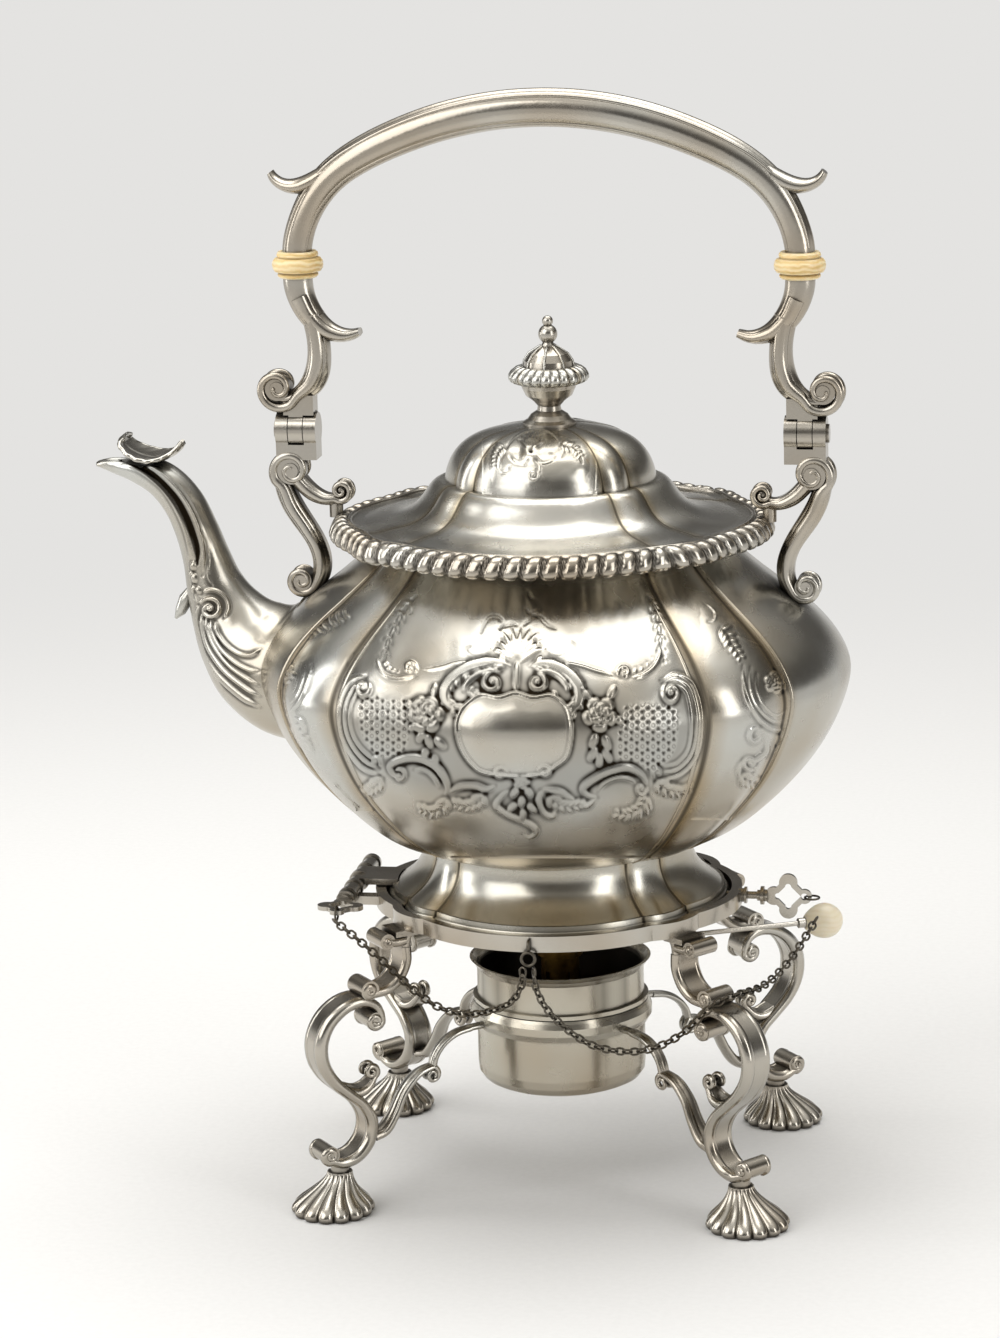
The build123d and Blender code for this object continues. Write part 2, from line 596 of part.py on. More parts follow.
def kettle_foot():
    """Hollow spreading foot with stepped mouldings, notched for the lock pin."""
    radius = KETTLE_FOOT_RADIUS
    flare_profile = (
        (5.4, radius - 2.2), (6.6, radius - 3.8), (9.2, radius - 7.2), (13.0, radius - 10.4),
        (17.6, WAIST_RADIUS + 0.3), (BODY_FLOOR, WAIST_RADIUS))
    hollow_profile = [(-1.0, radius - 2.0), (2.0, radius - 2.2), (5.4, radius - 4.2)]
    hollow_profile += [(height, reach - FOOT_THICKNESS) for height, reach in flare_profile[2:-1]]
    hollow_profile += [(BODY_FLOOR + 1.0, WAIST_RADIUS - FOOT_THICKNESS)]
    notch_top = LOCK_Z + PIN_RADIUS + GAP
    notch = Pos(radius, 0, notch_top / 2) * Box(9.0, 2 * (PIN_RADIUS + GAP), notch_top)
    flare = lobed_loft(flare_profile, KETTLE_BASE)
    return flare + foot_mouldings() - lobed_loft(hollow_profile, KETTLE_BASE) - notch


def gadroon_rim():
    """Cast border of slanting gadroons around the mouth, with a seat for the lid."""
    sections = []
    for height, radius, turn in (
            (0.0, RIM_RADIUS - 3.4, 0.0), (1.6, RIM_RADIUS - 0.3, 0.8), (3.0, RIM_RADIUS, 1.8),
            (4.5, RIM_RADIUS - 2.2, 3.0), (RIM_HEIGHT, RIM_RADIUS - 5.6, 4.4)):
        wire = scalloped_wire(radius, RIM_BOTTOM + height, GADROONS, GADROON_DEPTH, turn,
                              crease=CREASE_DEPTH)
        sections.append(Face(wire))
    border = loft(sections, ruled=True)
    mouth = lobed_loft(((-5.0, MOUTH_RADIUS), (10.0, MOUTH_RADIUS)), RIM_BOTTOM, ruled=True)
    seat_radius = LID_RADIUS + GAP
    seat = lobed_loft(((RIM_SEAT, seat_radius), (20.0, seat_radius)), RIM_BOTTOM, ruled=True)
    return border - mouth - seat


def spout_solid():
    """Swan neck that ends in a pointed beak, closed."""
    return limb(SPOUT_STATIONS + BEAK_STATIONS, origin=(0.0, KETTLE_BASE))


def spout_bore():
    """The space inside the neck, and the trough that opens the beak's top."""
    less = 2 * SPOUT_WALL
    stations = [(x, z, tall - less, wide - less) for x, z, tall, wide in SPOUT_STATIONS]
    bore = limb(stations, origin=(0.0, KETTLE_BASE))
    return bore + limb(TROUGH_STATIONS, origin=(0.0, KETTLE_BASE))


def spout():
    """Hollow swan neck, trimmed to the body and open along the beak."""
    return spout_solid() - spout_bore() - body_solid()


def spout_lip():
    """Curled leaf that covers the back of the beak."""
    return limb(LEAF_STATIONS, origin=(0.0, KETTLE_BASE)) - spout_solid()


def bracket():
    """Right-hand bracket: outer knuckles on a scroll that stands on the body and the rim."""
    half = BARREL_LENGTH / 2
    inner = BARREL_MIDDLE / 2 + GAP
    hinge = (HANDLE_X, HANDLE_AXIS_Z)
    left = barrel(HANDLE_X - half, HANDLE_X - inner, BARREL_RADIUS, HANDLE_AXIS_Z)
    right = barrel(HANDLE_X + inner, HANDLE_X + half, BARREL_RADIUS, HANDLE_AXIS_Z)
    saddle_top = HANDLE_AXIS_Z - BARREL_RADIUS - GAP * 2
    saddle = Pos(HANDLE_X, 0, saddle_top - 1.6) * Box(BARREL_LENGTH, 9.0, 3.2)
    ears = Pos(HANDLE_X, 0, saddle_top) * Box(BARREL_LENGTH, 9.0, 7.0)
    slot = barrel(HANDLE_X - inner, HANDLE_X + inner, BARREL_RADIUS + GAP * 2, HANDLE_AXIS_Z)
    slot_box = Pos(HANDLE_X, 0, HANDLE_AXIS_Z) * Box(2 * inner, 30, 2 * BARREL_RADIUS - 4)
    leg = limb(
        ((5.6, -13.1, 4.0, 8.4), (5.2, -20.1, 6.4, 8.4), (2.4, -27.1, 7.0, 8.4),
         (-2.2, -34.3, 6.6, 8.0), (-6.1, -41.5, 6.2, 8.0), (-7.1, -48.7, 6.0, 8.0),
         (-5.0, -54.3, 5.2, 8.0), (-0.6, -56.5, 3.6, 8.0)), STRAP_CORNER, hinge)
    arm = limb(
        ((0.6, -17.1, 6.0, 8.0), (-3.4, -21.3, 5.4, 7.4), (-8.4, -24.1, 4.4, 6.8),
         (-12.4, -24.1, 3.6, 6.2), (-14.4, -22.3, 2.8, 5.6)), STRAP_CORNER, hinge)
    toe_top = HANDLE_AXIS_Z - 23.2
    toe = Pos(HANDLE_X - 12.6, 0, (RIM_TOP - 1.5 + toe_top) / 2) * Cylinder(2.4, toe_top - RIM_TOP + 1.5)
    ball = Pos(HANDLE_X - 14.8, 0, HANDLE_AXIS_Z - 21.1) * Sphere(3.0)
    shape = (left + right + ears + saddle) - slot - slot_box
    shape = shape + roll(HANDLE_X + 2.2, HANDLE_AXIS_Z - 13.9, 4.8, 9.0) + leg + arm + ball + toe
    shape = shape + roll(HANDLE_X - 0.2, HANDLE_AXIS_Z - 52.7, 3.6, 8.6)
    pin = barrel(HANDLE_X - 30, HANDLE_X + 30, HINGE_PIN_RADIUS, HANDLE_AXIS_Z)
    return shape - pin


def mirrored(shape):
    """The left-hand copy of a right-hand piece."""
    return mirror(shape, about=Plane.YZ)


def handle_hinge_pins():
    """A riveted pin through each handle hinge."""
    half = BARREL_LENGTH / 2
    pin = barrel(HANDLE_X - half, HANDLE_X + half, HINGE_PIN_RADIUS, HANDLE_AXIS_Z)
    head = barrel(HANDLE_X + half, HANDLE_X + half + 0.9, HINGE_PIN_RADIUS + 1.0, HANDLE_AXIS_Z)
    return [pin + head, mirrored(pin + head)]


def kettle_hinge():
    """Middle knuckle of the tilting hinge on a tongue from the kettle's foot."""
    half = TILT_MIDDLE / 2
    knuckle = barrel_y(TILT_X, -half, half, TILT_KNUCKLE, TILT_Z)
    knuckle = knuckle + barrel_y(TILT_X, -1.6, 1.6, TILT_KNUCKLE + 0.7, TILT_Z)
    end = -KETTLE_FOOT_RADIUS + 6.0
    tongue_z = RING_TOP + GAP + 1.2
    tongue = Pos((TILT_X + end) / 2, 0, tongue_z) * Box(end - TILT_X, TILT_MIDDLE - 2.0, 2.2)
    hole = barrel_y(TILT_X, -TILT_LENGTH, TILT_LENGTH, PIN_RADIUS + RUNNING, TILT_Z)
    flare = lobed_loft(
        ((5.6, KETTLE_FOOT_RADIUS - 2.4), (20.0, WAIST_RADIUS)), KETTLE_BASE, ruled=True)
    return knuckle + tongue - hole - foot_mouldings() - flare


# ---- lid --------------------------------------------------------------------------------
def lid_outside():
    """The lid's outer form, closed: a broad flange, a lobed tier and a melon dome."""
    flange = lobed_loft(((0.0, LID_RADIUS), (LID_EDGE, LID_RADIUS)), LID_SEAT, ruled=True)
    tier = lobed_loft(LID_PROFILE, LID_SEAT)
    return flange + tier + lobed_loft(DOME_PROFILE, LID_SEAT, crease=LID_CREASE)


def lid_shell():
    """The lid, hollow below, with a bezel that drops into the mouth."""
    throat = DOME_PROFILE[0][1] - LID_WALL - 0.4
    low = [(-2.0, MOUTH_RADIUS - 1.8), (LID_EDGE, MOUTH_RADIUS - 2.6)] + inset(LID_PROFILE, LID_WALL)[3:-1]
    under = lobed_loft(low + [(LID_PROFILE[-1][0] - LID_WALL, throat + 1.0)], LID_SEAT)
    crown = (DOME_PROFILE[-1][0] - LID_WALL - 0.2, DOME_PROFILE[-1][1])
    cap = [(LID_PROFILE[-2][0] - 0.8, throat)] + inset(DOME_PROFILE, LID_WALL)[2:-1] + [crown]
    hollow = lobed_loft(cap, LID_SEAT, crease=LID_CREASE)
    outer = MOUTH_RADIUS - BEZEL_PLAY
    bezel = lobed_ring(outer, outer - BEZEL_WALL, LID_SEAT - BEZEL_DEPTH, LID_SEAT + 0.4)
    stud_hole = Pos(0, 0, FINIAL_BASE) * Cylinder(FINIAL_STUD + RUNNING, 12)
    return lid_outside() - under - hollow + bezel - stud_hole


def finial():
    """Turned urn finial with a gadrooned shoulder and a stud through the lid."""
    base = FINIAL_BASE
    stem = turned((
        (0.0, base), (9.2, base), (9.2, base + 1.0), (7.6, base + 2.0), (6.4, base + 3.6),
        (4.2, base + 5.0), (3.9, base + 6.6), (5.6, base + 8.4), (8.0, base + 10.2),
        (9.2, base + 12.8), (9.6, base + 14.4), (0.0, base + 14.4)))
    top = turned((
        (0.0, base + 20.0), (8.6, base + 20.0), (8.2, base + 22.2), (6.6, base + 24.6),
        (4.0, base + 26.2), (2.4, base + 27.2), (1.8, base + 28.4), (0.0, base + 28.4)))
    shoulder = loft([
        Face(scalloped_wire(9.4, base + 14.2, 20, 0.3)),
        Face(scalloped_wire(13.0, base + 16.0, 20, 0.8)),
        Face(scalloped_wire(13.3, base + 17.4, 20, 0.8)),
        Face(scalloped_wire(8.8, base + 20.2, 20, 0.4)),
    ], ruled=True)
    balls = Pos(0, 0, base + 31.2) * Sphere(3.3) + Pos(0, 0, base + 35.6) * Sphere(1.9)
    stud = Pos(0, 0, base - 3.0) * Cylinder(FINIAL_STUD, 6.4)
    return stem + shoulder + top + balls + stud


def finial_nut():
    """Nut that draws the finial down from inside the lid."""
    top = FINIAL_BASE - LID_WALL - 0.2
    nut = extrude(RegularPolygon(4.0, 6), 2.4)
    return Pos(0, 0, top - 2.4) * (nut - Cylinder(FINIAL_STUD, 10))


def barrel_x(length, radius):
    """Plain cylinder along the lid's hinge, centred on it."""
    return Pos(0, LID_HINGE_Y, LID_AXIS_Z) * Cylinder(radius, length, rotation=(0, 90, 0))


def lid_hinge_leaf():
    """Middle knuckle with its leaf on the lid's flange."""
    low = RIM_TOP + GAP
    high = LID_AXIS_Z + 0.8
    inner_y = LID_HINGE_Y - 15.0
    leaf = Pos(0, (inner_y + LID_HINGE_Y) / 2, (low + high) / 2)
    leaf = leaf * Box(LID_KNUCKLE, LID_HINGE_Y - inner_y, high - low)
    root = Pos(0, LID_HINGE_Y - 10.0, (LID_SEAT + high) / 2) * Box(LID_KNUCKLE, 9.0, high - LID_SEAT)
    hole = barrel_x(60, LID_PIN_RADIUS + RUNNING)
    return leaf + root + barrel_x(LID_KNUCKLE, KNUCKLE_RADIUS) - hole - lid_outside()


def lid_hinge_base():
    """Outer knuckles with feet on the rim."""
    pieces = []
    low = RIM_BOTTOM + RIM_SEAT
    for side in (-1, 1):
        middle = side * (LID_KNUCKLE + GAP)
        knuckle = Pos(middle, 0, 0) * barrel_x(LID_KNUCKLE, KNUCKLE_RADIUS)
        foot = Pos(middle, LID_HINGE_Y, (low + LID_AXIS_Z) / 2) * Box(LID_KNUCKLE, 3.0, LID_AXIS_Z - low)
        pieces.append(knuckle + foot - barrel_x(60, LID_PIN_RADIUS) - gadroon_rim())
    return pieces


def lid_hinge_pin():
    """Pin along the lid's hinge, riveted a little past its knuckles."""
    return barrel_x(3 * LID_KNUCKLE + 2 * GAP + 1.6, LID_PIN_RADIUS)


# ---- bail handle ------------------------------------------------------------------------
def handle_grip():
    """Arched grip that tapers to its ends, with a reed along its back and a leaf at each shoulder."""
    shoulder_x, shoulder_rise = GRIP_SHOULDER
    shoulder_z = HANDLE_AXIS_Z + shoulder_rise
    end_z = INSULATOR_BOTTOM + INSULATOR_HEIGHT - 1.0
    crown = (0, 0, HANDLE_AXIS_Z + GRIP_RISE)
    top = ThreePointArc((-shoulder_x, 0, shoulder_z), crown, (shoulder_x, 0, shoulder_z))
    right = TangentArc(top @ 1, (GRIP_END_X, 0, end_z), tangent=top % 1)
    half = [(top @ share, top % share) for share in (0.5, 0.62, 0.75, 0.88, 1.0)]
    half += [(right @ share, right % share) for share in (0.25, 0.5, 0.75, 1.0)]
    places = [(Vector(-point.X, 0, point.Z), Vector(way.X, 0, -way.Z)) for point, way in half[:0:-1]]
    places += half
    grip = []
    reed = []
    for point, way in places:
        size = 1 - (1 - GRIP_TAPER) * (abs(point.X) / GRIP_END_X) ** 3
        plane = Plane(origin=point, x_dir=(0, 1, 0), z_dir=way)
        grip.append(plane * Ellipse(GRIP_WIDTH / 2 * size, (GRIP_DEPTH / 2 - 0.6) * size))
        outward = Vector(0, 1, 0).cross(way) * (REED_RADIUS - GRIP_DEPTH / 2) * size
        crest = Plane(origin=point + outward, x_dir=(0, 1, 0), z_dir=way)
        reed.append(crest * Circle(REED_RADIUS * size))
    leaf = limb(
        ((72.0, 91.3, 5.0, 8.0), (80.6, 85.9, 5.8, 9.4), (87.0, 84.1, 5.2, 9.2),
         (92.0, 85.5, 3.8, 7.4), (94.8, 88.9, 2.6, 5.4)), origin=(0.0, HANDLE_AXIS_Z))
    return loft(grip) + loft(reed) + leaf + mirrored(leaf) - insulator() - mirrored(insulator())


def insulator():
    """Ivory ring between grip and arm: a bold middle bead with a small one above and below."""
    low = INSULATOR_BOTTOM
    high = low + INSULATOR_HEIGHT
    radius = INSULATOR_RADIUS
    neck = INSULATOR_NECK
    return Pos(GRIP_END_X, 0, 0) * turned((
        (0, low), (neck - 0.6, low), (neck, low + 0.6), (neck, low + 1.2), (neck - 0.5, low + 1.8),
        (radius - 0.8, low + 2.2), (radius - 0.15, low + 3.2), (radius, low + 4.4),
        (radius - 0.15, low + 5.6), (radius - 0.9, low + 6.6), (neck - 0.2, low + 7.0),
        (neck + 0.2, high - 1.3), (neck, high - 0.5), (neck - 0.5, high), (0, high)))


def handle_arm():
    """Right-hand arm: an S scroll from the insulator to the middle knuckle of its hinge."""
    hinge = (HANDLE_X, HANDLE_AXIS_Z)
    rise = INSULATOR_RISE + 1.0
    upper = limb(
        ((GRIP_END_X - HANDLE_X, rise, 10.4, 9.6), (-2.6, 46.3, 9.8, 9.4), (-5.8, 39.9, 8.8, 9.0),
         (-11.0, 34.9, 7.0, 8.4), (-17.4, 32.9, 4.8, 7.6), (-22.8, 34.1, 2.8, 6.0)), origin=hinge)
    lower = limb(
        ((-6.4, 40.3, 8.0, 8.8), (-8.0, 32.3, 8.0, 8.8), (-8.2, 24.3, 8.4, 8.8),
         (-6.0, 16.9, 8.4, 8.8), (-1.0, 12.3, 6.0, 8.6), (5.4, 10.9, 3.2, 8.4)), origin=hinge)
    neck_low = BARREL_RADIUS - 1.2
    neck_high = 12.3
    neck = Box(10.6, 7.6, neck_high - neck_low)
    neck = Pos(HANDLE_X - 1.0, 0, HANDLE_AXIS_Z + (neck_low + neck_high) / 2) * neck
    middle = BARREL_MIDDLE / 2
    knuckle = barrel(HANDLE_X - middle, HANDLE_X + middle, BARREL_RADIUS, HANDLE_AXIS_Z)
    half = BARREL_LENGTH / 2 + 4.0
    clear = barrel(HANDLE_X - half, HANDLE_X - middle, BARREL_RADIUS + GAP * 2, HANDLE_AXIS_Z)
    clear = clear + barrel(HANDLE_X + middle, HANDLE_X + half, BARREL_RADIUS + GAP * 2, HANDLE_AXIS_Z)
    pin = barrel(HANDLE_X - 30, HANDLE_X + 30, HINGE_PIN_RADIUS + RUNNING, HANDLE_AXIS_Z)
    volute = roll(HANDLE_X + 6.2, HANDLE_AXIS_Z + 14.7, 4.2, 8.6)
    return upper + lower + (neck - clear) + volute + knuckle - pin - insulator()


# ---- lamp -------------------------------------------------------------------------------
def lamp_cup():
    """Lobed cup with a rounded base, a shoulder bead on the ring and a flared lip."""
    radius = LAMP_RADIUS
    bead = LAMP_RING_TOP + GAP
    profile = (
        (LAMP_BOTTOM, radius - 4.0), (LAMP_BOTTOM + 1.0, radius - 1.8), (LAMP_BOTTOM + 3.2, radius - 0.3),
        (LAMP_BOTTOM + 6.0, radius), (bead, radius), (bead + 0.1, radius + 1.3),
        (bead + 1.5, radius + 1.3), (bead + 1.6, radius - 0.2), (LAMP_TOP - 3.4, radius - 0.2),
        (LAMP_TOP - 1.6, radius + 1.0), (LAMP_TOP, radius + 2.3),
    )
    outside = lobed_loft(profile, crease=LAMP_CREASE, ruled=True)
    inside = (
        (LAMP_BOTTOM + LAMP_WALL, radius - 5.0), (LAMP_BOTTOM + 3.6, radius - LAMP_WALL - 0.4),
        (LAMP_BOTTOM + 6.0, radius - LAMP_WALL), (LAMP_TOP - 3.4, radius - LAMP_WALL),
        (LAMP_TOP - 1.6, radius - 0.1), (LAMP_TOP + 0.2, radius + 1.4),
    )
    return outside - lobed_loft(inside, crease=LAMP_CREASE, ruled=True)


def lamp_cover():
    """Cover over the spirit, with the wick tube through it."""
    radius = LAMP_RADIUS - LAMP_WALL
    top = LAMP_COVER + COVER_THICKNESS
    disc = lobed_loft(((LAMP_COVER, radius), (top, radius)), crease=LAMP_CREASE, ruled=True)
    return disc - Pos(0, 0, LAMP_COVER) * Cylinder(WICK_TUBE_RADIUS, 10)


def wick_tube():
    """Tube that holds the wick."""
    return tube(WICK_TUBE_RADIUS, WICK_TUBE_RADIUS - WICK_RADIUS, LAMP_BOTTOM + 8.0, LEVER_HEIGHT - 2.0)


def wick():
    """Plaited cotton wick, reaching down into the spirit."""
    low = LAMP_BOTTOM + 2.0
    high = LEVER_HEIGHT
    return Pos(0, 0, (low + high) / 2) * Cylinder(WICK_RADIUS, high - low)


def regulator_sleeve():
    """Turning sleeve with air windows around the wick tube."""
    outer = SLEEVE_RADIUS
    low = LAMP_COVER + COVER_THICKNESS + GAP
    high = LEVER_HEIGHT + 1.6
    sleeve = tube(outer, SLEEVE_WALL, low, high)
    collar = tube(COLLAR_RADIUS, SLEEVE_WALL + SLEEVE_COLLAR, LEVER_HEIGHT - 1.6, high)
    windows = [Rot(0, 0, 60 * turn) * (Pos(outer, 0, low + 9.0) * Box(6, 2.4, 9.0)) for turn in range(6)]
    return sleeve + collar - windows


def lever_rod():
    """Straight lever from the sleeve out under the ring."""
    start = SLEEVE_RADIUS + 0.4
    rod = barrel(start, LEVER_REACH + LEVER_TANG - 0.4, LEVER_RADIUS, LEVER_HEIGHT)
    ferrule = barrel(LEVER_REACH - 3.0, LEVER_REACH - 0.4, LEVER_RADIUS + 0.9, LEVER_HEIGHT)
    collar = Pos(0, 0, LEVER_HEIGHT) * Cylinder(COLLAR_RADIUS, 8)
    return Rot(0, 0, LEVER_ANGLE) * (rod + ferrule - collar)


def lever_knob():
    """Egg-shaped ivory knob."""
    start = LEVER_REACH - 0.4
    reach = KNOB_LENGTH
    outline = Spline([(start, 2.4), (start + reach * 0.22, KNOB_RADIUS * 0.80),
                      (start + reach * 0.58, KNOB_RADIUS), (start + reach * 0.90, KNOB_RADIUS * 0.62),
                      (start + reach, 0.0)])
    edges = [outline, Line((start, 0), (start, 2.4)), Line((start + reach, 0), (start, 0))]
    egg = revolve(make_face(edges), Axis.X)
    hole = barrel(start - 5, start + LEVER_TANG, LEVER_RADIUS, 0)
    return Rot(0, 0, LEVER_ANGLE) * (Pos(0, 0, LEVER_HEIGHT) * (egg - hole))


# ---- write every node -------------------------------------------------------------------
def save(name, shape):
    """Write one node, shifted so that the origin is the middle of the footprint."""
    solids = []
    for piece in (shape if isinstance(shape, (list, tuple)) else [shape]):
        solids.extend(piece.solids())
    moved = [Pos(STAND_AXIS_X, 0, 0) * solid for solid in solids]
    export_step(Compound(children=moved) if len(moved) > 1 else moved[0], f"parts/{name}.step")


def build_stand():
    """Ring, legs, struts, lamp ring, hinge and chains."""
    save("stand_ring", stand_ring())
    save("lock_socket", lock_socket())
    save("stand_hinge", stand_hinge())
    save("lamp_ring", lamp_ring())
    leg = scroll_leg()
    foot = shell_foot()
    brace = strut()
    for corner in ("front_left", "front_right", "back_left", "back_right"):
        save(f"leg_{corner}", on_corner(leg, corner))
        save(f"foot_{corner}", on_corner(foot, corner))
        save(f"strut_{corner}", on_corner(brace, corner) - on_corner(leg, corner) - lamp_ring_plug())
    save("chain_hook", chain_hook())
    save("chain_left", chain(LEFT_ROUTE))
    save("chain_right", chain(RIGHT_ROUTE))


def lamp_ring_plug():
    """The lamp ring filled in, to trim the struts to its outside."""
    return lobed_loft(((LAMP_RING_BOTTOM + 2.0, LAMP_RING_EDGE), (LAMP_RING_TOP, LAMP_RING_EDGE)),
                      crease=LAMP_CREASE, ruled=True)


def build_kettle():
    """Everything that tilts with the kettle, apart from lid and handle."""
    save("kettle_body", kettle_body())
    save("kettle_foot", kettle_foot())
    save("gadroon_rim", gadroon_rim())
    save("spout", spout())
    save("spout_lip", spout_lip())
    seat = body_solid()
    rim = gadroon_rim()
    right = bracket() - seat - rim
    save("bracket_right", right)
    save("bracket_left", mirrored(bracket()) - seat - rim)
    save("handle_hinge_pins", handle_hinge_pins())
    save("kettle_hinge", kettle_hinge())
    save("lid_hinge_base", lid_hinge_base())
    save("lid_hinge_pin", lid_hinge_pin())


def build_lid():
    """Lid, its knuckle and its finial."""
    save("lid", lid_shell())
    save("lid_hinge_leaf", lid_hinge_leaf())
    save("finial", finial())
    save("finial_nut", finial_nut())


def build_handle():
    """Grip, insulators and arms."""
    save("handle_grip", handle_grip())
    save("insulator_right", insulator())
    save("insulator_left", mirrored(insulator()))
    save("handle_arm_right", handle_arm())
    save("handle_arm_left", mirrored(handle_arm()))


def build_pins():
    """The two chained pins and their split rings."""
    save("lock_pin", lock_pin_place(chained_pin(LOCK_SHANK)))
    save("lock_pin_ring", lock_pin_place(plate_ring()))
    save("hinge_pin", hinge_pin_place(chained_pin(HINGE_COLLAR_Y + TILT_LENGTH / 2 + 0.6)))
    save("hinge_pin_ring", hinge_pin_place(plate_ring()))


def build_lamp():
    """Spirit lamp and its regulator."""
    save("lamp_cup", lamp_cup())
    save("lamp_cover", lamp_cover())
    save("wick_tube", wick_tube())
    save("wick", wick())
    save("regulator_sleeve", regulator_sleeve())
    save("lever_rod", lever_rod())
    save("lever_knob", lever_knob())


build_stand()
build_kettle()
build_lid()
build_handle()
build_pins()
build_lamp()
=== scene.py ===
# %% [markdown]
# # A silver spirit kettle on its stand
# The kettle, its stand, its lamp and its pins arrive as finished CAD pieces. This lesson gives
# them their metal, ivory and brass, and adds what a chaser and a jeweller add at the bench:
# raised scrolls, flowers, beads and the links of two chains.

# %% Load the frame
import json
import math

import bpy
import numpy as np
from mathutils import Matrix, Vector
from mathutils.bvhtree import BVHTree

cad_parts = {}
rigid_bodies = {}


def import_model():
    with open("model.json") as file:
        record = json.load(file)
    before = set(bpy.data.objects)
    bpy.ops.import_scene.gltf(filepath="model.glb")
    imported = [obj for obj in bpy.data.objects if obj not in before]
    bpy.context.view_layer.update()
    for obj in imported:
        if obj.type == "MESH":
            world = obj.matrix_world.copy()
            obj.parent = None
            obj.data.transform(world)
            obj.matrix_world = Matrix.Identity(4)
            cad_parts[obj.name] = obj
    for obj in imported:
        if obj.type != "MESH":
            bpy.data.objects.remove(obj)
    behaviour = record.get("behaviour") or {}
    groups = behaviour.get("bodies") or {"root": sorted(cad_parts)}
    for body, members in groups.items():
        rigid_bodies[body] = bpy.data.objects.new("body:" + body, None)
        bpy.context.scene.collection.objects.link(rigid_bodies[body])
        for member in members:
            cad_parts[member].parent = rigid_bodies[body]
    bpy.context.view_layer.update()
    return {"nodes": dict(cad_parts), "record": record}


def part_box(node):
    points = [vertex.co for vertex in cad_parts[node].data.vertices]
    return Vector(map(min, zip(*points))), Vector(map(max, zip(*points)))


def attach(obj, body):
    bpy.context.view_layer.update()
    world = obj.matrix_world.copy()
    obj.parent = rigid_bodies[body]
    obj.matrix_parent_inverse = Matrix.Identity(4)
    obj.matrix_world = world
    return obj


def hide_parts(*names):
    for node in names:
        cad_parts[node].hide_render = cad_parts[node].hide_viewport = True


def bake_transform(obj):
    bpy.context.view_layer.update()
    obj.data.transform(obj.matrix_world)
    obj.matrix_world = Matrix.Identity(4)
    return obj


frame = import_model()
nodes = frame["nodes"]
MM = 0.001

# %% [markdown]
# The stand's own axis isn't the middle of the model, because the spout reaches further to one
# side. Every place below is measured from that axis, so it is read from the ring once.

# %% Axis of the stand
ring_low, ring_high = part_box("stand_ring")
AXIS_X = (ring_low.x + ring_high.x) / 2
print("stand axis at x =", round(AXIS_X, 5))


def place(x, y, z):
    """A point given in millimetres from the stand's axis and the table."""
    return Vector((AXIS_X + x * MM, y * MM, z * MM))


# %% [markdown]
# ## The camera
# A long lens from a metre and a half away, a little above the lid and a little to the right,
# keeps the lobes upright. The same camera later casts the ornament's drawing onto the metal,
# so its three directions are kept.

# %% Camera
CAMERA_TURN = math.radians(9.25)
CAMERA_ROLL = math.radians(-1.3)
CAMERA_DISTANCE = 1500.0
CAMERA_HEIGHT = 532.7
CAMERA_AIM = (-18.85, 181.4)  # sideways and up, mm
FOCAL_UNITS = 4445.0  # focal length in units of the drawing frame
FRAME_SIZE = (1000.0, 1338.0)

eye = place(CAMERA_DISTANCE * math.sin(CAMERA_TURN), -CAMERA_DISTANCE * math.cos(CAMERA_TURN), CAMERA_HEIGHT)
level = Vector((math.cos(CAMERA_TURN), math.sin(CAMERA_TURN), 0.0))
aim = place(0, 0, CAMERA_AIM[1]) + level * CAMERA_AIM[0] * MM
forward = (aim - eye).normalized()
flat_right = forward.cross(Vector((0, 0, 1))).normalized()
flat_up = flat_right.cross(forward)
right = flat_right * math.cos(CAMERA_ROLL) + flat_up * math.sin(CAMERA_ROLL)
up = flat_up * math.cos(CAMERA_ROLL) - flat_right * math.sin(CAMERA_ROLL)

bpy.ops.object.camera_add(location=eye)
camera = bpy.context.object
camera.name = "view_camera"
camera.rotation_euler = Matrix((right, up, -forward)).transposed().to_euler()
camera.data.sensor_width = 36.0
camera.data.lens = FOCAL_UNITS * camera.data.sensor_width / FRAME_SIZE[1]
camera.data.clip_end = 100
bpy.context.scene.camera = camera
print("lens:", round(camera.data.lens, 2), "mm")

# %% [markdown]
# ## Colours and nodes
# Three small helpers serve every material: one turns a written sRGB colour into linear light,
# one adds a node with its settings, its links and the stops of its ramp in one line, and one
# starts a material. Two sets of settings come back often: a mix of two colours, and a sum of
# two shares that never passes one.

# %% Helpers for materials
def colour(text, alpha=1.0):
    """Linear RGBA from an sRGB hex string."""
    channels = [int(text[i:i + 2], 16) / 255 for i in (1, 3, 5)]
    linear = [c / 12.92 if c <= 0.04045 else ((c + 0.055) / 1.055) ** 2.4 for c in channels]
    return (*linear, alpha)


def add_node(tree, kind, settings=None, stops=(), **inputs):
    """Adds a node; inputs are values or (node, output) links, and stops are (position, hex) pairs."""
    node = tree.nodes.new(kind)
    for key, value in (settings or {}).items():
        setattr(node, key, value)
    for key, value in inputs.items():
        socket = node.inputs[int(key[1:])] if key[1:].isdigit() else node.inputs[key.replace("_", " ")]
        if isinstance(value, tuple) and isinstance(value[0], bpy.types.Node):
            tree.links.new(value[0].outputs[value[1]], socket)
        else:
            socket.default_value = value
    if stops:
        band = node.color_ramp.elements
        while len(band) < len(stops):
            band.new(0.5)
        for element, (position, shade) in zip(band, stops):
            element.position = position
            element.color = colour(shade)
    return node


# %% Start of a material
MIXED = {"data_type": "RGBA"}
SUMMED = {"operation": "ADD", "use_clamp": True}


def new_material(name):
    """Empty node material and its tree."""
    material = bpy.data.materials.new(name)
    material.use_nodes = True
    material.node_tree.nodes.clear()
    return material, material.node_tree


print("silver grey:", [round(channel, 3) for channel in colour("#bfbfba")[:3]])

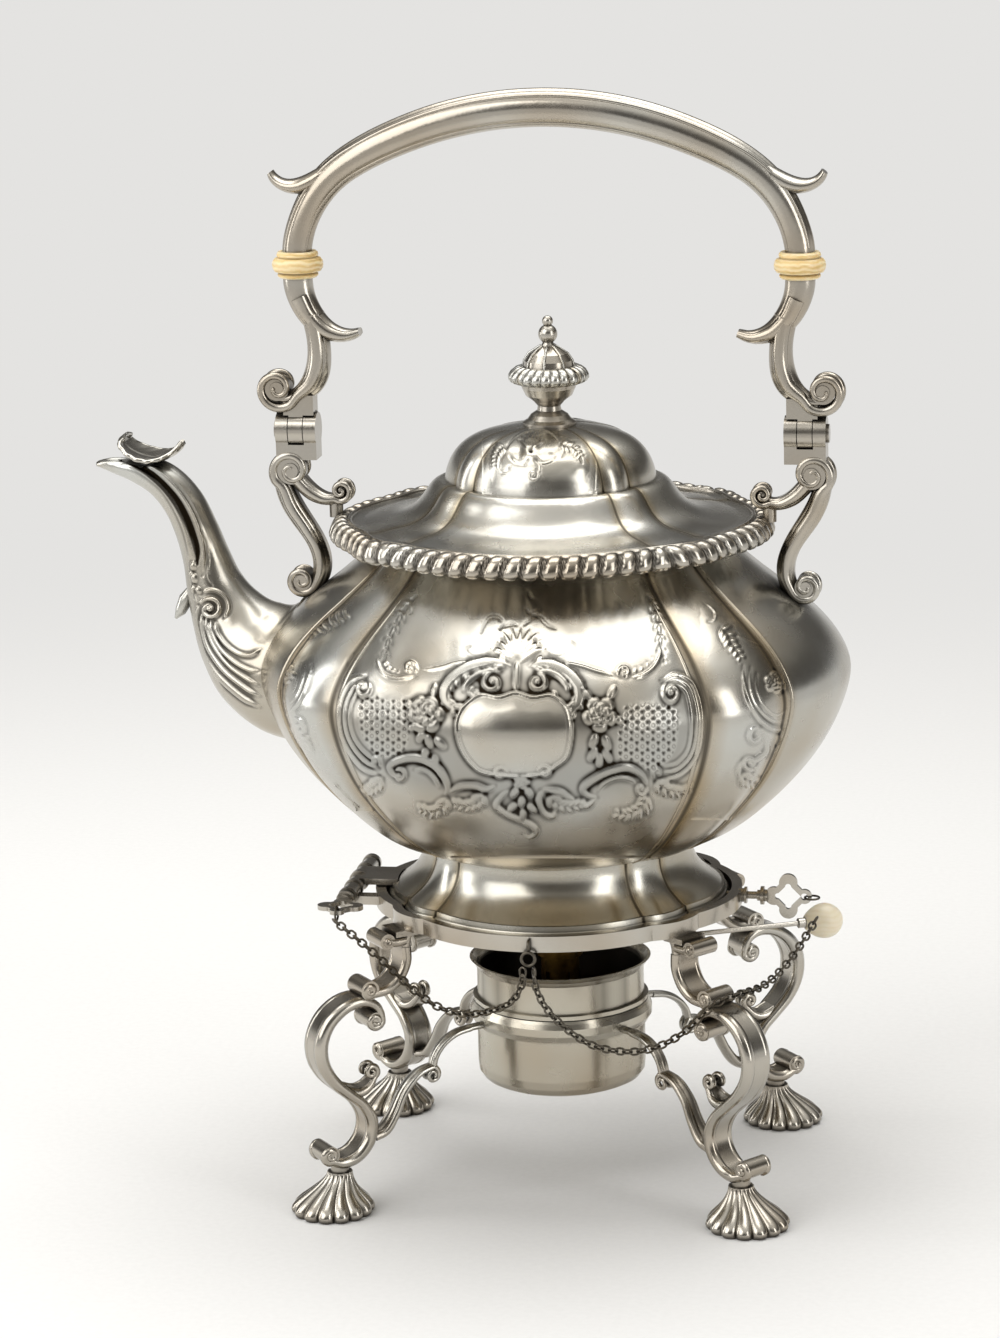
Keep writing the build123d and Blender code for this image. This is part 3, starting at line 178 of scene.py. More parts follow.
# %% [markdown]
# ## Silver
# Sterling silver, raised by hammer, chased and polished. Polishing leaves it mirror-like but never perfectly
# flat, so a slow bump bends the reflections. Sulphur in the air turns it warm, then brown and black where the
# cloth can't reach: in creases and in chased lines. Ambient occlusion finds the creases, and an attribute
# called recess, painted by the ornament's own relief, finds the chased lines. Shade is painted on top of the
# tarnish: a dark line with a warm edge along each crease of the lobes, the floor of the spout's channel, the
# open beak and the inside of the lamp's cup. The warm band low on the body is partly tarnish and partly a
# painted reflection of a warm brown surface below.

# %% Distance from the creases
CREASE_ANGLES = (40.0, 60.0)  # degrees from the front and back
CREASE_RADIUS = 75.0  # mm, at which an angle is turned into a distance


def crease_distance(tree, parts):
    """Node that gives the rough distance in mm from the nearest crease of the lobes."""
    aside = add_node(tree, "ShaderNodeMath", {"operation": "SUBTRACT"}, _0=(parts, "X"), _1=AXIS_X)
    across = add_node(tree, "ShaderNodeMath", {"operation": "ABSOLUTE"}, _0=(aside, 0))
    along = add_node(tree, "ShaderNodeMath", {"operation": "ABSOLUTE"}, _0=(parts, "Y"))
    bearing = add_node(tree, "ShaderNodeMath", {"operation": "ARCTAN2"}, _0=(across, 0), _1=(along, 0))
    gaps = []
    for degrees in CREASE_ANGLES:
        turn = add_node(tree, "ShaderNodeMath", {"operation": "SUBTRACT"}, _0=(bearing, 0),
                        _1=math.radians(degrees))
        gaps.append(add_node(tree, "ShaderNodeMath", {"operation": "ABSOLUTE"}, _0=(turn, 0)))
    least = add_node(tree, "ShaderNodeMath", {"operation": "MINIMUM"}, _0=(gaps[0], 0), _1=(gaps[1], 0))
    return add_node(tree, "ShaderNodeMath", {"operation": "MULTIPLY"}, _0=(least, 0), _1=CREASE_RADIUS)


# %% [markdown]
# The warm film lies in soft clouds a few centimetres wide. Low on the body a warm band is added to it, partly
# tarnish and partly a painted reflection of a warm brown surface below. It is a share between nothing and
# one, which later mixes two colours.

# %% Warm film and painted low reflection
GRAIN = {"waves": 28.0, "cloud": 46.0, "scuff": 14.0, "scratch": 0.9}  # mm between repeats
WARM_FROM, WARM_TO = 0.165, 0.112  # m above the table, where the low warm band of tarnish and painted reflection starts and is full


def warm_film_and_low_reflection(tree, here, parts, warm_share, low_tarnish_and_reflection):
    """Share of the warm film, with the low warm band that is partly a painted reflection."""
    cloud = add_node(tree, "ShaderNodeTexNoise", Vector=here, Scale=1 / (GRAIN["cloud"] * MM), Detail=2.5,
                     Roughness=0.5)
    warm_tint = add_node(tree, "ShaderNodeMapRange", Value=(cloud, 0), From_Min=0.34, From_Max=0.74,
                    To_Min=0.0, To_Max=warm_share)
    # Warm band low on the body: partly tarnish, partly a painted reflection of a brown surface below.
    low = add_node(tree, "ShaderNodeMapRange", Value=(parts, "Z"), From_Min=WARM_FROM, From_Max=WARM_TO,
                   To_Min=0.0, To_Max=low_tarnish_and_reflection)
    return add_node(tree, "ShaderNodeMath", SUMMED, _0=(warm_tint, 0), _1=(low, 0))


# %% [markdown]
# The dark share is found in three ways: tarnish by ambient occlusion, tarnish and some painted shade by the
# ornament's own attribute, and on the lamp painted shade with soot, which blackens only the inside of the
# cup, nearer the axis than its wall.

# %% Dark tarnish and painted shade
CUP_SHADE_FROM, CUP_SHADE_TO = 0.050, 0.056  # m above the table
AO_REACH = 0.006  # m


def dark_recesses(tree):
    """Share of dark tarnish in crevices and chased lines, with the painted shade that the recess attribute
    carries.
    """
    crevice = add_node(tree, "ShaderNodeAmbientOcclusion", {"samples": 8}, Distance=AO_REACH)
    shade = add_node(tree, "ShaderNodeMapRange", Value=(crevice, "AO"), From_Min=0.35, From_Max=0.8,
                     To_Min=0.75, To_Max=0.0)
    marked_tarnish_and_shade = add_node(tree, "ShaderNodeAttribute", {"attribute_name": "recess"})
    return add_node(tree, "ShaderNodeMath", SUMMED, _0=(shade, 0), _1=(marked_tarnish_and_shade, "Fac"))


def cup_shade_and_soot_share(tree, here, parts, radius):
    """Share of painted shade and soot nearer the stand's axis than a radius in mm."""
    aside = add_node(tree, "ShaderNodeVectorMath", {"operation": "SUBTRACT"}, _0=here, _1=(AXIS_X, 0.0, 0.0))
    flat = add_node(tree, "ShaderNodeVectorMath", {"operation": "MULTIPLY"}, _0=(aside, 0),
                    _1=(1.0, 1.0, 0.0))
    reach = add_node(tree, "ShaderNodeVectorMath", {"operation": "LENGTH"}, _0=(flat, 0))
    black = add_node(tree, "ShaderNodeMapRange", Value=(reach, "Value"), From_Min=(radius + 0.4) * MM,
                     From_Max=radius * MM, To_Min=0.0, To_Max=0.9)
    above = add_node(tree, "ShaderNodeMapRange", Value=(parts, "Z"), From_Min=CUP_SHADE_FROM, From_Max=CUP_SHADE_TO)
    return add_node(tree, "ShaderNodeMath", {"operation": "MULTIPLY"}, _0=(black, 0), _1=(above, 0))


# %% [markdown]
# Polished silver is neither even in gloss nor flat. Scuffs change its roughness, tarnish makes
# it duller, wide waves are left by the hammer, and fine scratches by the cloth. Real scratches
# are too fine to show, so they are drawn as coarse as 0.9 mm.

# %% Gloss and waves
def gloss(tree, here, tarnish_and_shade, roughness):
    """Roughness that wanders a little and grows in the tarnish and the painted shade."""
    scuff = add_node(tree, "ShaderNodeTexNoise", Vector=here, Scale=1 / (GRAIN["scuff"] * MM), Detail=3.0,
                     Roughness=0.5)
    rough = add_node(tree, "ShaderNodeMapRange", Value=(scuff, 0), From_Min=0.3, From_Max=0.7,
                     To_Min=roughness * 0.85, To_Max=roughness * 1.2)
    return add_node(tree, "ShaderNodeMath", {"operation": "MULTIPLY_ADD", "use_clamp": True},
                    _0=tarnish_and_shade, _1=0.25, _2=(rough, 0))


def hammered(tree, here):
    """Bump of slow waves and fine scratches."""
    waves = add_node(tree, "ShaderNodeTexNoise", Vector=here, Scale=1 / (GRAIN["waves"] * MM), Detail=2.0)
    hammer = add_node(tree, "ShaderNodeBump", Strength=0.05, Distance=0.004, Height=(waves, 0))
    fine = add_node(tree, "ShaderNodeTexNoise", Vector=here, Scale=1 / (GRAIN["scratch"] * MM), Detail=3.0)
    return add_node(tree, "ShaderNodeBump", Strength=0.04, Distance=0.0004, Height=(fine, 0),
                    Normal=(hammer, 0))


# %% Silver material
def silver(name, colours, roughness, warm_share=0.5, low_tarnish_and_reflection=0.0, paint_crease_shade=False, cup_shade_and_soot=0.0):
    """Polished sterling silver; colours are its clean, warm and dark ones, the warm and dark ones also used
    for painted reflection and shade.
    """
    material, tree = new_material(name)
    coords = add_node(tree, "ShaderNodeTexCoord")
    here = (coords, "Object")
    parts = add_node(tree, "ShaderNodeSeparateXYZ", _0=here)
    warm_tint = warm_film_and_low_reflection(tree, here, parts, warm_share, low_tarnish_and_reflection)
    tarnish_and_shade = dark_recesses(tree)
    # Painted shade: a dark line along each crease of the lobes, with a warm painted edge beside it.
    if paint_crease_shade:
        gap = crease_distance(tree, parts)
        painted_crease_warmth = add_node(tree, "ShaderNodeMapRange", Value=(gap, 0), From_Min=0.8, From_Max=5.5, To_Min=0.4,
                        To_Max=0.0)
        warm_tint = add_node(tree, "ShaderNodeMath", SUMMED, _0=(warm_tint, 0), _1=(painted_crease_warmth, 0))
        painted_crease_line = add_node(tree, "ShaderNodeMapRange", Value=(gap, 0), From_Min=0.35, From_Max=1.3, To_Min=0.75,
                        To_Max=0.0)
        tarnish_and_shade = add_node(tree, "ShaderNodeMath", SUMMED, _0=(tarnish_and_shade, 0), _1=(painted_crease_line, 0))
    # Painted shade, with soot, inside the lamp's cup.
    if cup_shade_and_soot:
        black = cup_shade_and_soot_share(tree, here, parts, cup_shade_and_soot)
        tarnish_and_shade = add_node(tree, "ShaderNodeMath", SUMMED, _0=(tarnish_and_shade, 0), _1=(black, 0))
    clean, warm, dark = map(colour, colours)
    base = add_node(tree, "ShaderNodeMix", MIXED, _0=(warm_tint, 0), _6=clean, _7=warm)
    final = add_node(tree, "ShaderNodeMix", MIXED, _0=(tarnish_and_shade, 0), _6=(base, 2), _7=dark)
    shader = add_node(tree, "ShaderNodeBsdfPrincipled", Base_Color=(final, 2), Metallic=1.0,
                      Roughness=(gloss(tree, here, (tarnish_and_shade, 0), roughness), 0),
                      Normal=(hammered(tree, here), 0))
    add_node(tree, "ShaderNodeOutputMaterial", Surface=(shader, 0))
    return material


# %% [markdown]
# Six silvers: the raised body, the spun foot, the castings, the lid, the lamp with painted shade and soot
# inside its cup, and the wire of the chains. The castings are warmer, because a cloth can't reach between
# their scrolls, and the chains are nearly black, because nobody polishes them.

# %% Silver finishes
CUP_INSIDE = 28.7  # mm, radius of the lamp's cup
body_silver = silver("raised_sterling_silver", ("#bfbfba", "#9a8256", "#1e1810"), 0.25, low_tarnish_and_reflection=0.55,
                     paint_crease_shade=True)
foot_silver = silver("spun_sterling_silver", ("#c0c0ba", "#9c8659", "#1e1810"), 0.24, 0.45, 0.12, True)
cast_silver = silver("cast_sterling_silver", ("#bbb8b0", "#8b6f43", "#19130d"), 0.22)
lid_silver = silver("lid_sterling_silver", ("#c4c4c0", "#a18e66", "#201a12"), 0.25, 0.4, paint_crease_shade=True)
lamp_silver = silver("lamp_silver_painted_shade_and_soot", ("#b9b4a7", "#8a6d40", "#19130d"), 0.25, 0.55,
                     cup_shade_and_soot=CUP_INSIDE)
chain_silver = silver("drawn_silver_wire", ("#625d54", "#3c3120", "#100c08"), 0.3, 0.7)
SILVERS = (body_silver, foot_silver, cast_silver, lid_silver, lamp_silver, chain_silver)
print("silver finishes:", [one.name for one in SILVERS])

# %% [markdown]
# ## Ivory, brass and cotton
# The rings in the handle and the lever's knob keep the heat from the hand. Ivory is dense and
# waxy: light goes in a little way, and growth lines, drawn wider apart than real ones so that
# they show, give faint bands. The works of the lamp are brass, dulled by the flame, and the wick
# is plaited cotton.

# %% Ivory
GROWTH_LINE = 0.9  # mm between growth lines
WAVE_TURN = 6.28  # a wave texture repeats once in this many units


def ivory(name, shades):
    """Turned and polished ivory, its colours from the palest to the deepest."""
    material, tree = new_material(name)
    coords = add_node(tree, "ShaderNodeTexCoord")
    lines = add_node(tree, "ShaderNodeTexWave", {"wave_type": "BANDS", "bands_direction": "Z"},
                     Vector=(coords, "Object"), Scale=1 / (GROWTH_LINE * MM) / WAVE_TURN, Distortion=5.0,
                     Detail=3.0)
    cloud = add_node(tree, "ShaderNodeTexNoise", Vector=(coords, "Object"), Scale=1 / (6 * MM), Detail=6.0)
    mixed = add_node(tree, "ShaderNodeMath", {"operation": "MULTIPLY"}, _0=(lines, "Fac"), _1=(cloud, 0))
    tint = add_node(tree, "ShaderNodeValToRGB", stops=tuple(zip((0.0, 0.5, 1.0), shades)),
                    _0=(mixed, 0))
    crevice = add_node(tree, "ShaderNodeAmbientOcclusion", {"samples": 8}, Distance=0.003)
    shade = add_node(tree, "ShaderNodeMapRange", Value=(crevice, "AO"), From_Min=0.4, From_Max=0.85,
                     To_Min=0.6, To_Max=0.0)
    final = add_node(tree, "ShaderNodeMix", MIXED, _0=(shade, 0), _6=(tint, 0), _7=colour("#7d6238"))
    shader = add_node(tree, "ShaderNodeBsdfPrincipled", Base_Color=(final, 2), Roughness=0.32, IOR=1.54,
                      Subsurface_Weight=0.25, Subsurface_Scale=0.002)
    shader.inputs["Subsurface Radius"].default_value = (1.0, 0.7, 0.4)
    add_node(tree, "ShaderNodeOutputMaterial", Surface=(shader, 0))
    return material


# %% Brass and cotton
PLAIT = 1.2  # mm between strands of the wick
CHAR_FROM, CHAR_TO = 0.0775, 0.0798  # m above the table, where the wick turns black


def smoked_brass():
    """Brass darkened by heat and spirit."""
    material, tree = new_material("smoked_brass")
    coords = add_node(tree, "ShaderNodeTexCoord")
    cloud = add_node(tree, "ShaderNodeTexNoise", Vector=(coords, "Object"), Scale=1 / (8 * MM), Detail=6.0)
    tint = add_node(tree, "ShaderNodeValToRGB", stops=((0.3, "#2f2415"), (0.5, "#6f5428"), (0.75, "#a5823f")),
                    _0=(cloud, 0))
    rough = add_node(tree, "ShaderNodeMapRange", Value=(cloud, 0), To_Min=0.55, To_Max=0.3)
    shader = add_node(tree, "ShaderNodeBsdfPrincipled", Base_Color=(tint, 0), Metallic=1.0,
                      Roughness=(rough, 0))
    add_node(tree, "ShaderNodeOutputMaterial", Surface=(shader, 0))
    return material


def cotton():
    """Plaited cotton, charred at its top."""
    material, tree = new_material("plaited_cotton")
    coords = add_node(tree, "ShaderNodeTexCoord")
    plait = add_node(tree, "ShaderNodeTexWave", {"bands_direction": "DIAGONAL"}, Vector=(coords, "Object"),
                     Scale=1 / (PLAIT * MM) / WAVE_TURN, Distortion=1.5)
    parts = add_node(tree, "ShaderNodeSeparateXYZ", _0=(coords, "Object"))
    char = add_node(tree, "ShaderNodeMapRange", Value=(parts, "Z"), From_Min=CHAR_FROM, From_Max=CHAR_TO)
    tint = add_node(tree, "ShaderNodeValToRGB", stops=((0.0, "#cfc4ae"), (1.0, "#efe8d8")), _0=(plait, "Fac"))
    final = add_node(tree, "ShaderNodeMix", MIXED, _0=(char, 0), _6=(tint, 0), _7=colour("#1c1814"))
    bump = add_node(tree, "ShaderNodeBump", Strength=0.5, Distance=0.0004, Height=(plait, "Fac"))
    shader = add_node(tree, "ShaderNodeBsdfPrincipled", Base_Color=(final, 2), Roughness=0.9,
                      Normal=(bump, 0))
    add_node(tree, "ShaderNodeOutputMaterial", Surface=(shader, 0))
    return material


turned_ivory = ivory("yellowed_turned_ivory", ("#ecd8ab", "#ddbf82", "#a67c3e"))
knob_ivory = ivory("pale_turned_ivory", ("#efe4cc", "#ece0c4", "#dccba6"))
dark_brass = smoked_brass()
wick_cotton = cotton()
print("other finishes:", [one.name for one in (turned_ivory, knob_ivory, dark_brass, wick_cotton)])

# %% [markdown]
# Each CAD piece takes the finish of the record's material slot that it is listed under.

# %% Dress the CAD pieces
SLOT_FINISH = {
    "silver_body": body_silver, "silver_cast": cast_silver, "silver_lid": lid_silver,
    "silver_chain": chain_silver, "brass_works": dark_brass, "ivory": turned_ivory, "cotton": wick_cotton,
}
slot_of = {part["node"]: part["material_slot"] for part in frame["record"]["subparts"]}


def dress(piece, material):
    """Gives a piece one material on every face."""
    piece.data.materials.clear()
    piece.data.materials.append(material)
    piece.data.polygons.foreach_set("material_index", [0] * len(piece.data.polygons))


for node_name, node in nodes.items():
    dress(node, SLOT_FINISH[slot_of[node_name]])
for node_name in ("lamp_cup", "lamp_ring"):
    dress(nodes[node_name], lamp_silver)
dress(nodes["lever_knob"], knob_ivory)
dress(nodes["kettle_foot"], foot_silver)
print("dressed:", {slot: list(slot_of.values()).count(slot) for slot in SLOT_FINISH})

# %% [markdown]
# ## Finishing a piece
# Every piece made below ends in the same way. It is selected in edit mode, its faces are turned outwards and
# shaded smooth, and it gets its finish and the body that it moves with. Where relief has hollows, an
# attribute keeps how deep they are, and in a few places it also keeps painted shade.

# %% Finish a piece
def add_piece(name, data):
    """New object from a mesh or a curve, selected and active."""
    piece = bpy.data.objects.new(name, data)
    bpy.context.scene.collection.objects.link(piece)
    bpy.ops.object.select_all(action="DESELECT")
    bpy.context.view_layer.objects.active = piece
    piece.select_set(True)
    return piece


def mark_tarnish_and_shade(mesh, depth):
    """Keeps a share of tarnish and painted shade for each point of a mesh."""
    marks = mesh.attributes.new("recess", "FLOAT", "POINT")
    marks.data.foreach_set("value", depth.reshape(-1).astype(np.float32))


def assign(piece, body, finish):
    """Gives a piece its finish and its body."""
    dress(piece, finish)
    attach(piece, body)
    print("made", piece.name, "of", len(piece.data.polygons), "faces")
    return piece


def finished(piece, body, finish):
    """Turns the active piece's faces outwards, shades it smooth and assigns it."""
    bpy.ops.object.mode_set(mode="EDIT")
    bpy.ops.mesh.select_all(action="SELECT")
    bpy.ops.mesh.normals_make_consistent(inside=False)
    bpy.ops.mesh.faces_shade_smooth()
    bpy.ops.object.mode_set(mode="OBJECT")
    return assign(piece, body, finish)


# %% [markdown]
# ## Chased ornament
# A chaser draws the pattern on the silver, then pushes the metal up from behind and down from
# the front with small punches. Here the drawing is a sheet of heights. Strokes, spirals, petals
# and a diaper ground are laid on it one after another, each with a fine groove round it, as the
# tracing tool leaves. Then the sheet is bent onto the body along the lines of sight of the
# drawing frame, and every point is moved along the metal's own normal. A height sheet was
# chosen because thousands of small soft forms flow into each other, which no stack of separate
# primitives can show.

# %% Smooth lines
def smooth_line(points, closed=False, density=4.0):
    """Dense points along a Catmull-Rom curve through the given ones, and each one's share of the way."""
    given = np.array(points, dtype=float)
    if closed:
        given = np.vstack([given[-1], given, given[0], given[1]])
    else:
        given = np.vstack([2 * given[0] - given[1], given, 2 * given[-1] - given[-2]])
    dense = []
    for index in range(1, len(given) - 2):
        p0, p1, p2, p3 = given[index - 1:index + 3]
        count = max(3, int(np.linalg.norm(p2 - p1) / density))
        t = np.linspace(0, 1, count, endpoint=False)[:, None]
        dense.append(0.5 * (2 * p1 + (p2 - p0) * t + (2 * p0 - 5 * p1 + 4 * p2 - p3) * t ** 2
                            + (3 * p1 - p0 - 3 * p2 + p3) * t ** 3))
    dense.append(given[-2][None, :])
    line = np.vstack(dense)
    steps = np.r_[0, np.cumsum(np.linalg.norm(np.diff(line, axis=0), axis=1))]
    return line, steps / steps[-1]


# %% Soft and wide fields
def blurred(field, radius):
    """Field smoothed by three passes of a box of the given radius, in cells."""
    for _ in range(3):
        for axis in (0, 1):
            pad = [(0, 0), (0, 0)]
            pad[axis] = (radius + 1, radius)
            total = np.cumsum(np.pad(field, pad, mode="edge"), axis=axis)
            width = 2 * radius + 1
            upper = total[width:, :] if axis == 0 else total[:, width:]
            lower = total[:-width, :] if axis == 0 else total[:, :-width]
            field = (upper - lower) / width
    return field


def widened(field, radius):
    """Largest value within the given number of cells."""
    for axis in (0, 1):
        pad = [(0, 0), (0, 0)]
        pad[axis] = (radius, radius)
        padded = np.pad(field, pad, mode="edge")
        field = np.lib.stride_tricks.sliding_window_view(padded, 2 * radius + 1, axis=axis).max(axis=-1)
    return field


# %% [markdown]
# The sheet itself is a grid of places on a drawing, with a height and a share of tarnish and painted shade
# for each. The drawing is larger than the drawing frame, so a corner and a scale tie the two.

# %% A chaser's sheet
class ChasedSheet:
    """Heights in millimetres over a drawing; corner and scale tie it to the drawing frame.

    Squeeze is a middle, a share and a reach: at that reach the drawing is narrower by the share.
    """

    def __init__(self, corner, scale, low, high, step, squeeze=(0.0, 0.0, 1.0)):
        self.corner = corner
        self.scale = scale
        self.squeeze = squeeze
        self.tool = 0.8 * step  # half the width of a traced groove
        across = np.arange(low[0], high[0] + step, step)
        down = np.arange(low[1], high[1] + step, step)
        self.x, self.y = np.meshgrid(across, down)
        self.height = np.zeros(self.x.shape)
        self.dirt_and_shade = np.zeros(self.x.shape)

    def window(self, line, margin):
        """The part of the sheet near a line."""
        low = line.min(axis=0) - margin
        high = line.max(axis=0) + margin
        rows = slice(*np.searchsorted(self.y[:, 0], (low[1], high[1])))
        columns = slice(*np.searchsorted(self.x[0], (low[0], high[0])))
        return rows, columns

    def __str__(self):
        worked = (np.abs(self.height) > 0.02).mean()
        return f"{worked:.0%} worked, {self.height.max():.2f} mm at its highest"


# %% [markdown]
# A stroke is the mark that is used most. The distance from each place to the nearest point of
# the line gives a rounded rise, thinner towards the ends, and wide strokes get three reeds. The
# groove of the tracing tool runs along both sides.

# %% Strokes
REEDED = 15  # strokes wider than this are drawn as three reeds


def ridge(sheet, points, width, height, groove=0.22, ends=0.25, vein=0.0, closed=False, spread=None):
    """Raised stroke with a traced groove at both sides, tapering towards its ends."""
    line, share = smooth_line(points, closed)
    half = width / 2
    spread = spread or sheet.tool
    area = sheet.window(line, half + 3.5 * spread)
    x = sheet.x[area][..., None]
    y = sheet.y[area][..., None]
    start = line[:-1]
    way = np.diff(line, axis=0)
    length = (way ** 2).sum(axis=1) + 1e-9
    t = np.clip(((x - start[:, 0]) * way[:, 0] + (y - start[:, 1]) * way[:, 1]) / length, 0, 1)
    gap = np.hypot(x - start[:, 0] - t * way[:, 0], y - start[:, 1] - t * way[:, 1])
    nearest = gap.argmin(axis=2)
    gap = np.take_along_axis(gap, nearest[..., None], 2)[..., 0]
    t = np.take_along_axis(t, nearest[..., None], 2)[..., 0]
    along = share[nearest] + t * (share[nearest + 1] - share[nearest])
    taper = np.ones_like(along)
    if not closed:
        taper = np.clip(np.minimum(along, 1 - along) / ends, 0.06, 1) ** 0.6
    ratio = gap / (half * taper)
    rise = height * taper * np.sqrt(np.clip(1 - ratio ** 3, 0, 1))
    if width > REEDED:
        rise = rise * (0.86 + 0.14 * np.cos(3 * math.pi * ratio))
    field = sheet.height[area]
    field = np.where(ratio < 1, np.maximum(rise, 0.35 * field), field)
    field = field - groove * np.exp(-((gap - half * taper) / spread) ** 2)
    if vein:
        full = np.clip(taper * 1.6 - 0.6, 0, 1)
        field = field - vein * np.exp(-(gap / sheet.tool) ** 2) * (ratio < 1) * full
    sheet.height[area] = field


# %% [markdown]
# Spirals, oval bosses and what is built of them: roses with two rings of petals, and frills of
# leaflets that lean along a line as the leaves of an acanthus do.

# %% Spirals and bosses
def petal(sheet, x, y, angle, length, width, height, groove=0.18, vein=0.0):
    """Oval boss, long towards an angle in degrees, with a groove round it."""
    line = np.array([[x, y]])
    area = sheet.window(line, max(length, width) + 6)
    turn = math.radians(angle)
    dx = sheet.x[area] - x
    dy = sheet.y[area] - y
    u = (dx * math.cos(turn) + dy * math.sin(turn)) / length
    v = (dy * math.cos(turn) - dx * math.sin(turn)) / width
    ratio = np.hypot(u, v)
    rise = height * np.sqrt(np.clip(1 - ratio ** 2, 0, 1))
    field = sheet.height[area]
    field = np.where(ratio < 1, np.maximum(rise, 0.4 * field), field)
    size = min(length, width)
    field = field - groove * np.exp(-((ratio - 1) * size / sheet.tool) ** 2)
    if vein:
        field = field - vein * np.exp(-(v * width / sheet.tool) ** 2) * (ratio < 0.9)
    sheet.height[area] = field


def volute(sheet, x, y, radius, start, turns, width, height):
    """Spiral that winds inwards from an angle in degrees, with a small eye."""
    angle = np.linspace(0, turns * 360, max(8, int(abs(turns) * 20)))
    reach = radius * (1 - 0.78 * np.abs(angle) / abs(turns * 360))
    bend = np.radians(start + angle)
    ridge(sheet, np.c_[x + reach * np.cos(bend), y + reach * np.sin(bend)], width, height, ends=0.2)
    petal(sheet, x, y, 0, radius * 0.3, radius * 0.3, height * 1.1)


# %% Roses and leaves
def flower(sheet, x, y, radius, count, height, turn=0.0):
    """Rose of two rings of petals round a button."""
    for ring, (reach, size, rise) in enumerate(((0.62, 0.46, 0.75), (0.34, 0.34, 1.0))):
        for number in range(count):
            angle = turn + 360 * (number + 0.5 * ring) / count
            bend = math.radians(angle)
            petal(sheet, x + radius * reach * math.cos(bend), y + radius * reach * math.sin(bend), angle,
                  radius * size * 0.9, radius * size, height * rise, vein=0.06)
    petal(sheet, x, y, 0, radius * 0.15, radius * 0.15, height)


def frill(sheet, points, count, length, width, height, side=1, lean=50, shrink=0.5):
    """Leaflets along a line, leaning forwards on one side of it or, for side 0, on both."""
    line, share = smooth_line(points)
    for number in range(count):
        way = (number + 0.5) / count
        spot = min(int(np.searchsorted(share, way)), len(line) - 2)
        heading = math.degrees(math.atan2(*(line[spot + 1] - line[spot])[::-1]))
        size = length * (1 - shrink * way)
        for hand in ((-1, 1) if side == 0 else (side,)):
            angle = heading + hand * lean
            bend = math.radians(angle)
            petal(sheet, line[spot][0] + size * 0.8 * math.cos(bend),
                  line[spot][1] + size * 0.8 * math.sin(bend), angle, size, width * (1 - shrink * way),
                  height, vein=0.1)


# %% [markdown]
# Fields are closed outlines. A field can be raised smooth, as the shield is, stained, as the ground of the
# panel is, darkened with painted shade, as the floor of the spout's channel is, or covered with a diaper, a
# net of small rings joined by bars.

# %% Fields
def inside(sheet, points):
    """Distance inside a closed outline, negative outside, and where it applies."""
    line, _ = smooth_line(points, closed=True)
    area = sheet.window(line, 10)
    x = sheet.x[area]
    y = sheet.y[area]
    crossed = np.zeros(x.shape, dtype=bool)
    near = np.full(x.shape, 1e9)
    for (x0, y0), (x1, y1) in zip(line, np.roll(line, -1, axis=0)):
        if y0 != y1:
            hit = (y0 > y) != (y1 > y)
            crossed ^= hit & (x < (x1 - x0) * (y - y0) / (y1 - y0) + x0)
        length = (x1 - x0) ** 2 + (y1 - y0) ** 2 + 1e-9
        t = np.clip(((x - x0) * (x1 - x0) + (y - y0) * (y1 - y0)) / length, 0, 1)
        near = np.minimum(near, np.hypot(x - x0 - t * (x1 - x0), y - y0 - t * (y1 - y0)))
    return np.where(crossed, near, -near), area


def boss(sheet, points, height, shoulder, edge=0.25):
    """Smooth raised field inside an outline."""
    depth, area = inside(sheet, points)
    rise = height * np.clip(depth / shoulder, 0, 1) ** 0.5
    sheet.height[area] = np.where(depth > 0, rise, sheet.height[area])
    sheet.height[area] -= edge * np.exp(-(depth / sheet.tool) ** 2)
    sheet.dirt_and_shade[area] = np.where(depth > 0, 0, sheet.dirt_and_shade[area])


def stain_and_shade(sheet, points, amount, soft):
    """Darkening inside an outline, fading in from its edge: a stain on the panel's ground, painted shade on
    the floor of the spout's channel.
    """
    depth, area = inside(sheet, points)
    sheet.dirt_and_shade[area] = np.maximum(sheet.dirt_and_shade[area], amount * np.clip(depth / soft, 0, 1))


# %% Diaper
def diaper(sheet, points, period, height):
    """Ground of small rings and bars on a three-way grid, inside an outline."""
    depth, area = inside(sheet, points)
    x = sheet.x[area]
    y = sheet.y[area]
    nearest = np.full(x.shape, period)
    bearing = np.zeros(x.shape)
    for shift in (0.0, 0.5):
        dx = (x / period + shift) % 1 - 0.5
        dy = (y / period / 3 ** 0.5 + shift) % 1 - 0.5
        reach = np.hypot(dx, dy * 3 ** 0.5) * period
        bearing = np.where(reach < nearest, np.arctan2(dy * 3 ** 0.5, dx), bearing)
        nearest = np.minimum(nearest, reach)
    fold = (bearing + math.pi / 6) % (math.pi / 3) - math.pi / 6
    rings = np.exp(-((nearest - 0.3 * period) / (0.11 * period)) ** 2)
    bars = np.exp(-(nearest * np.sin(fold) / (0.08 * period)) ** 2) * (nearest > 0.3 * period)
    beads = np.maximum(np.maximum(rings, 0.85 * bars), np.exp(-(nearest / (0.1 * period)) ** 2))
    blend = np.clip(depth / 8, 0, 1)
    sheet.height[area] = sheet.height[area] * (1 - blend) + blend * (height * beads - 0.2)
    ground = blend * 0.6 * (1 - np.clip(beads * 1.2, 0, 1))
    sheet.dirt_and_shade[area] = np.maximum(sheet.dirt_and_shade[area] * (1 - 0.6 * blend), ground)


# %% [markdown]
# The sheet meets the metal by casting one line of sight for each of its points. The body is made
# of flat facets, so the distances are smoothed a little before use, or the facets would show in
# the polish. At its edges the sheet dips below the surface, where it can't be seen, and its
# ground is lifted round the grooves by as much as they are deep, or the metal would hide them.

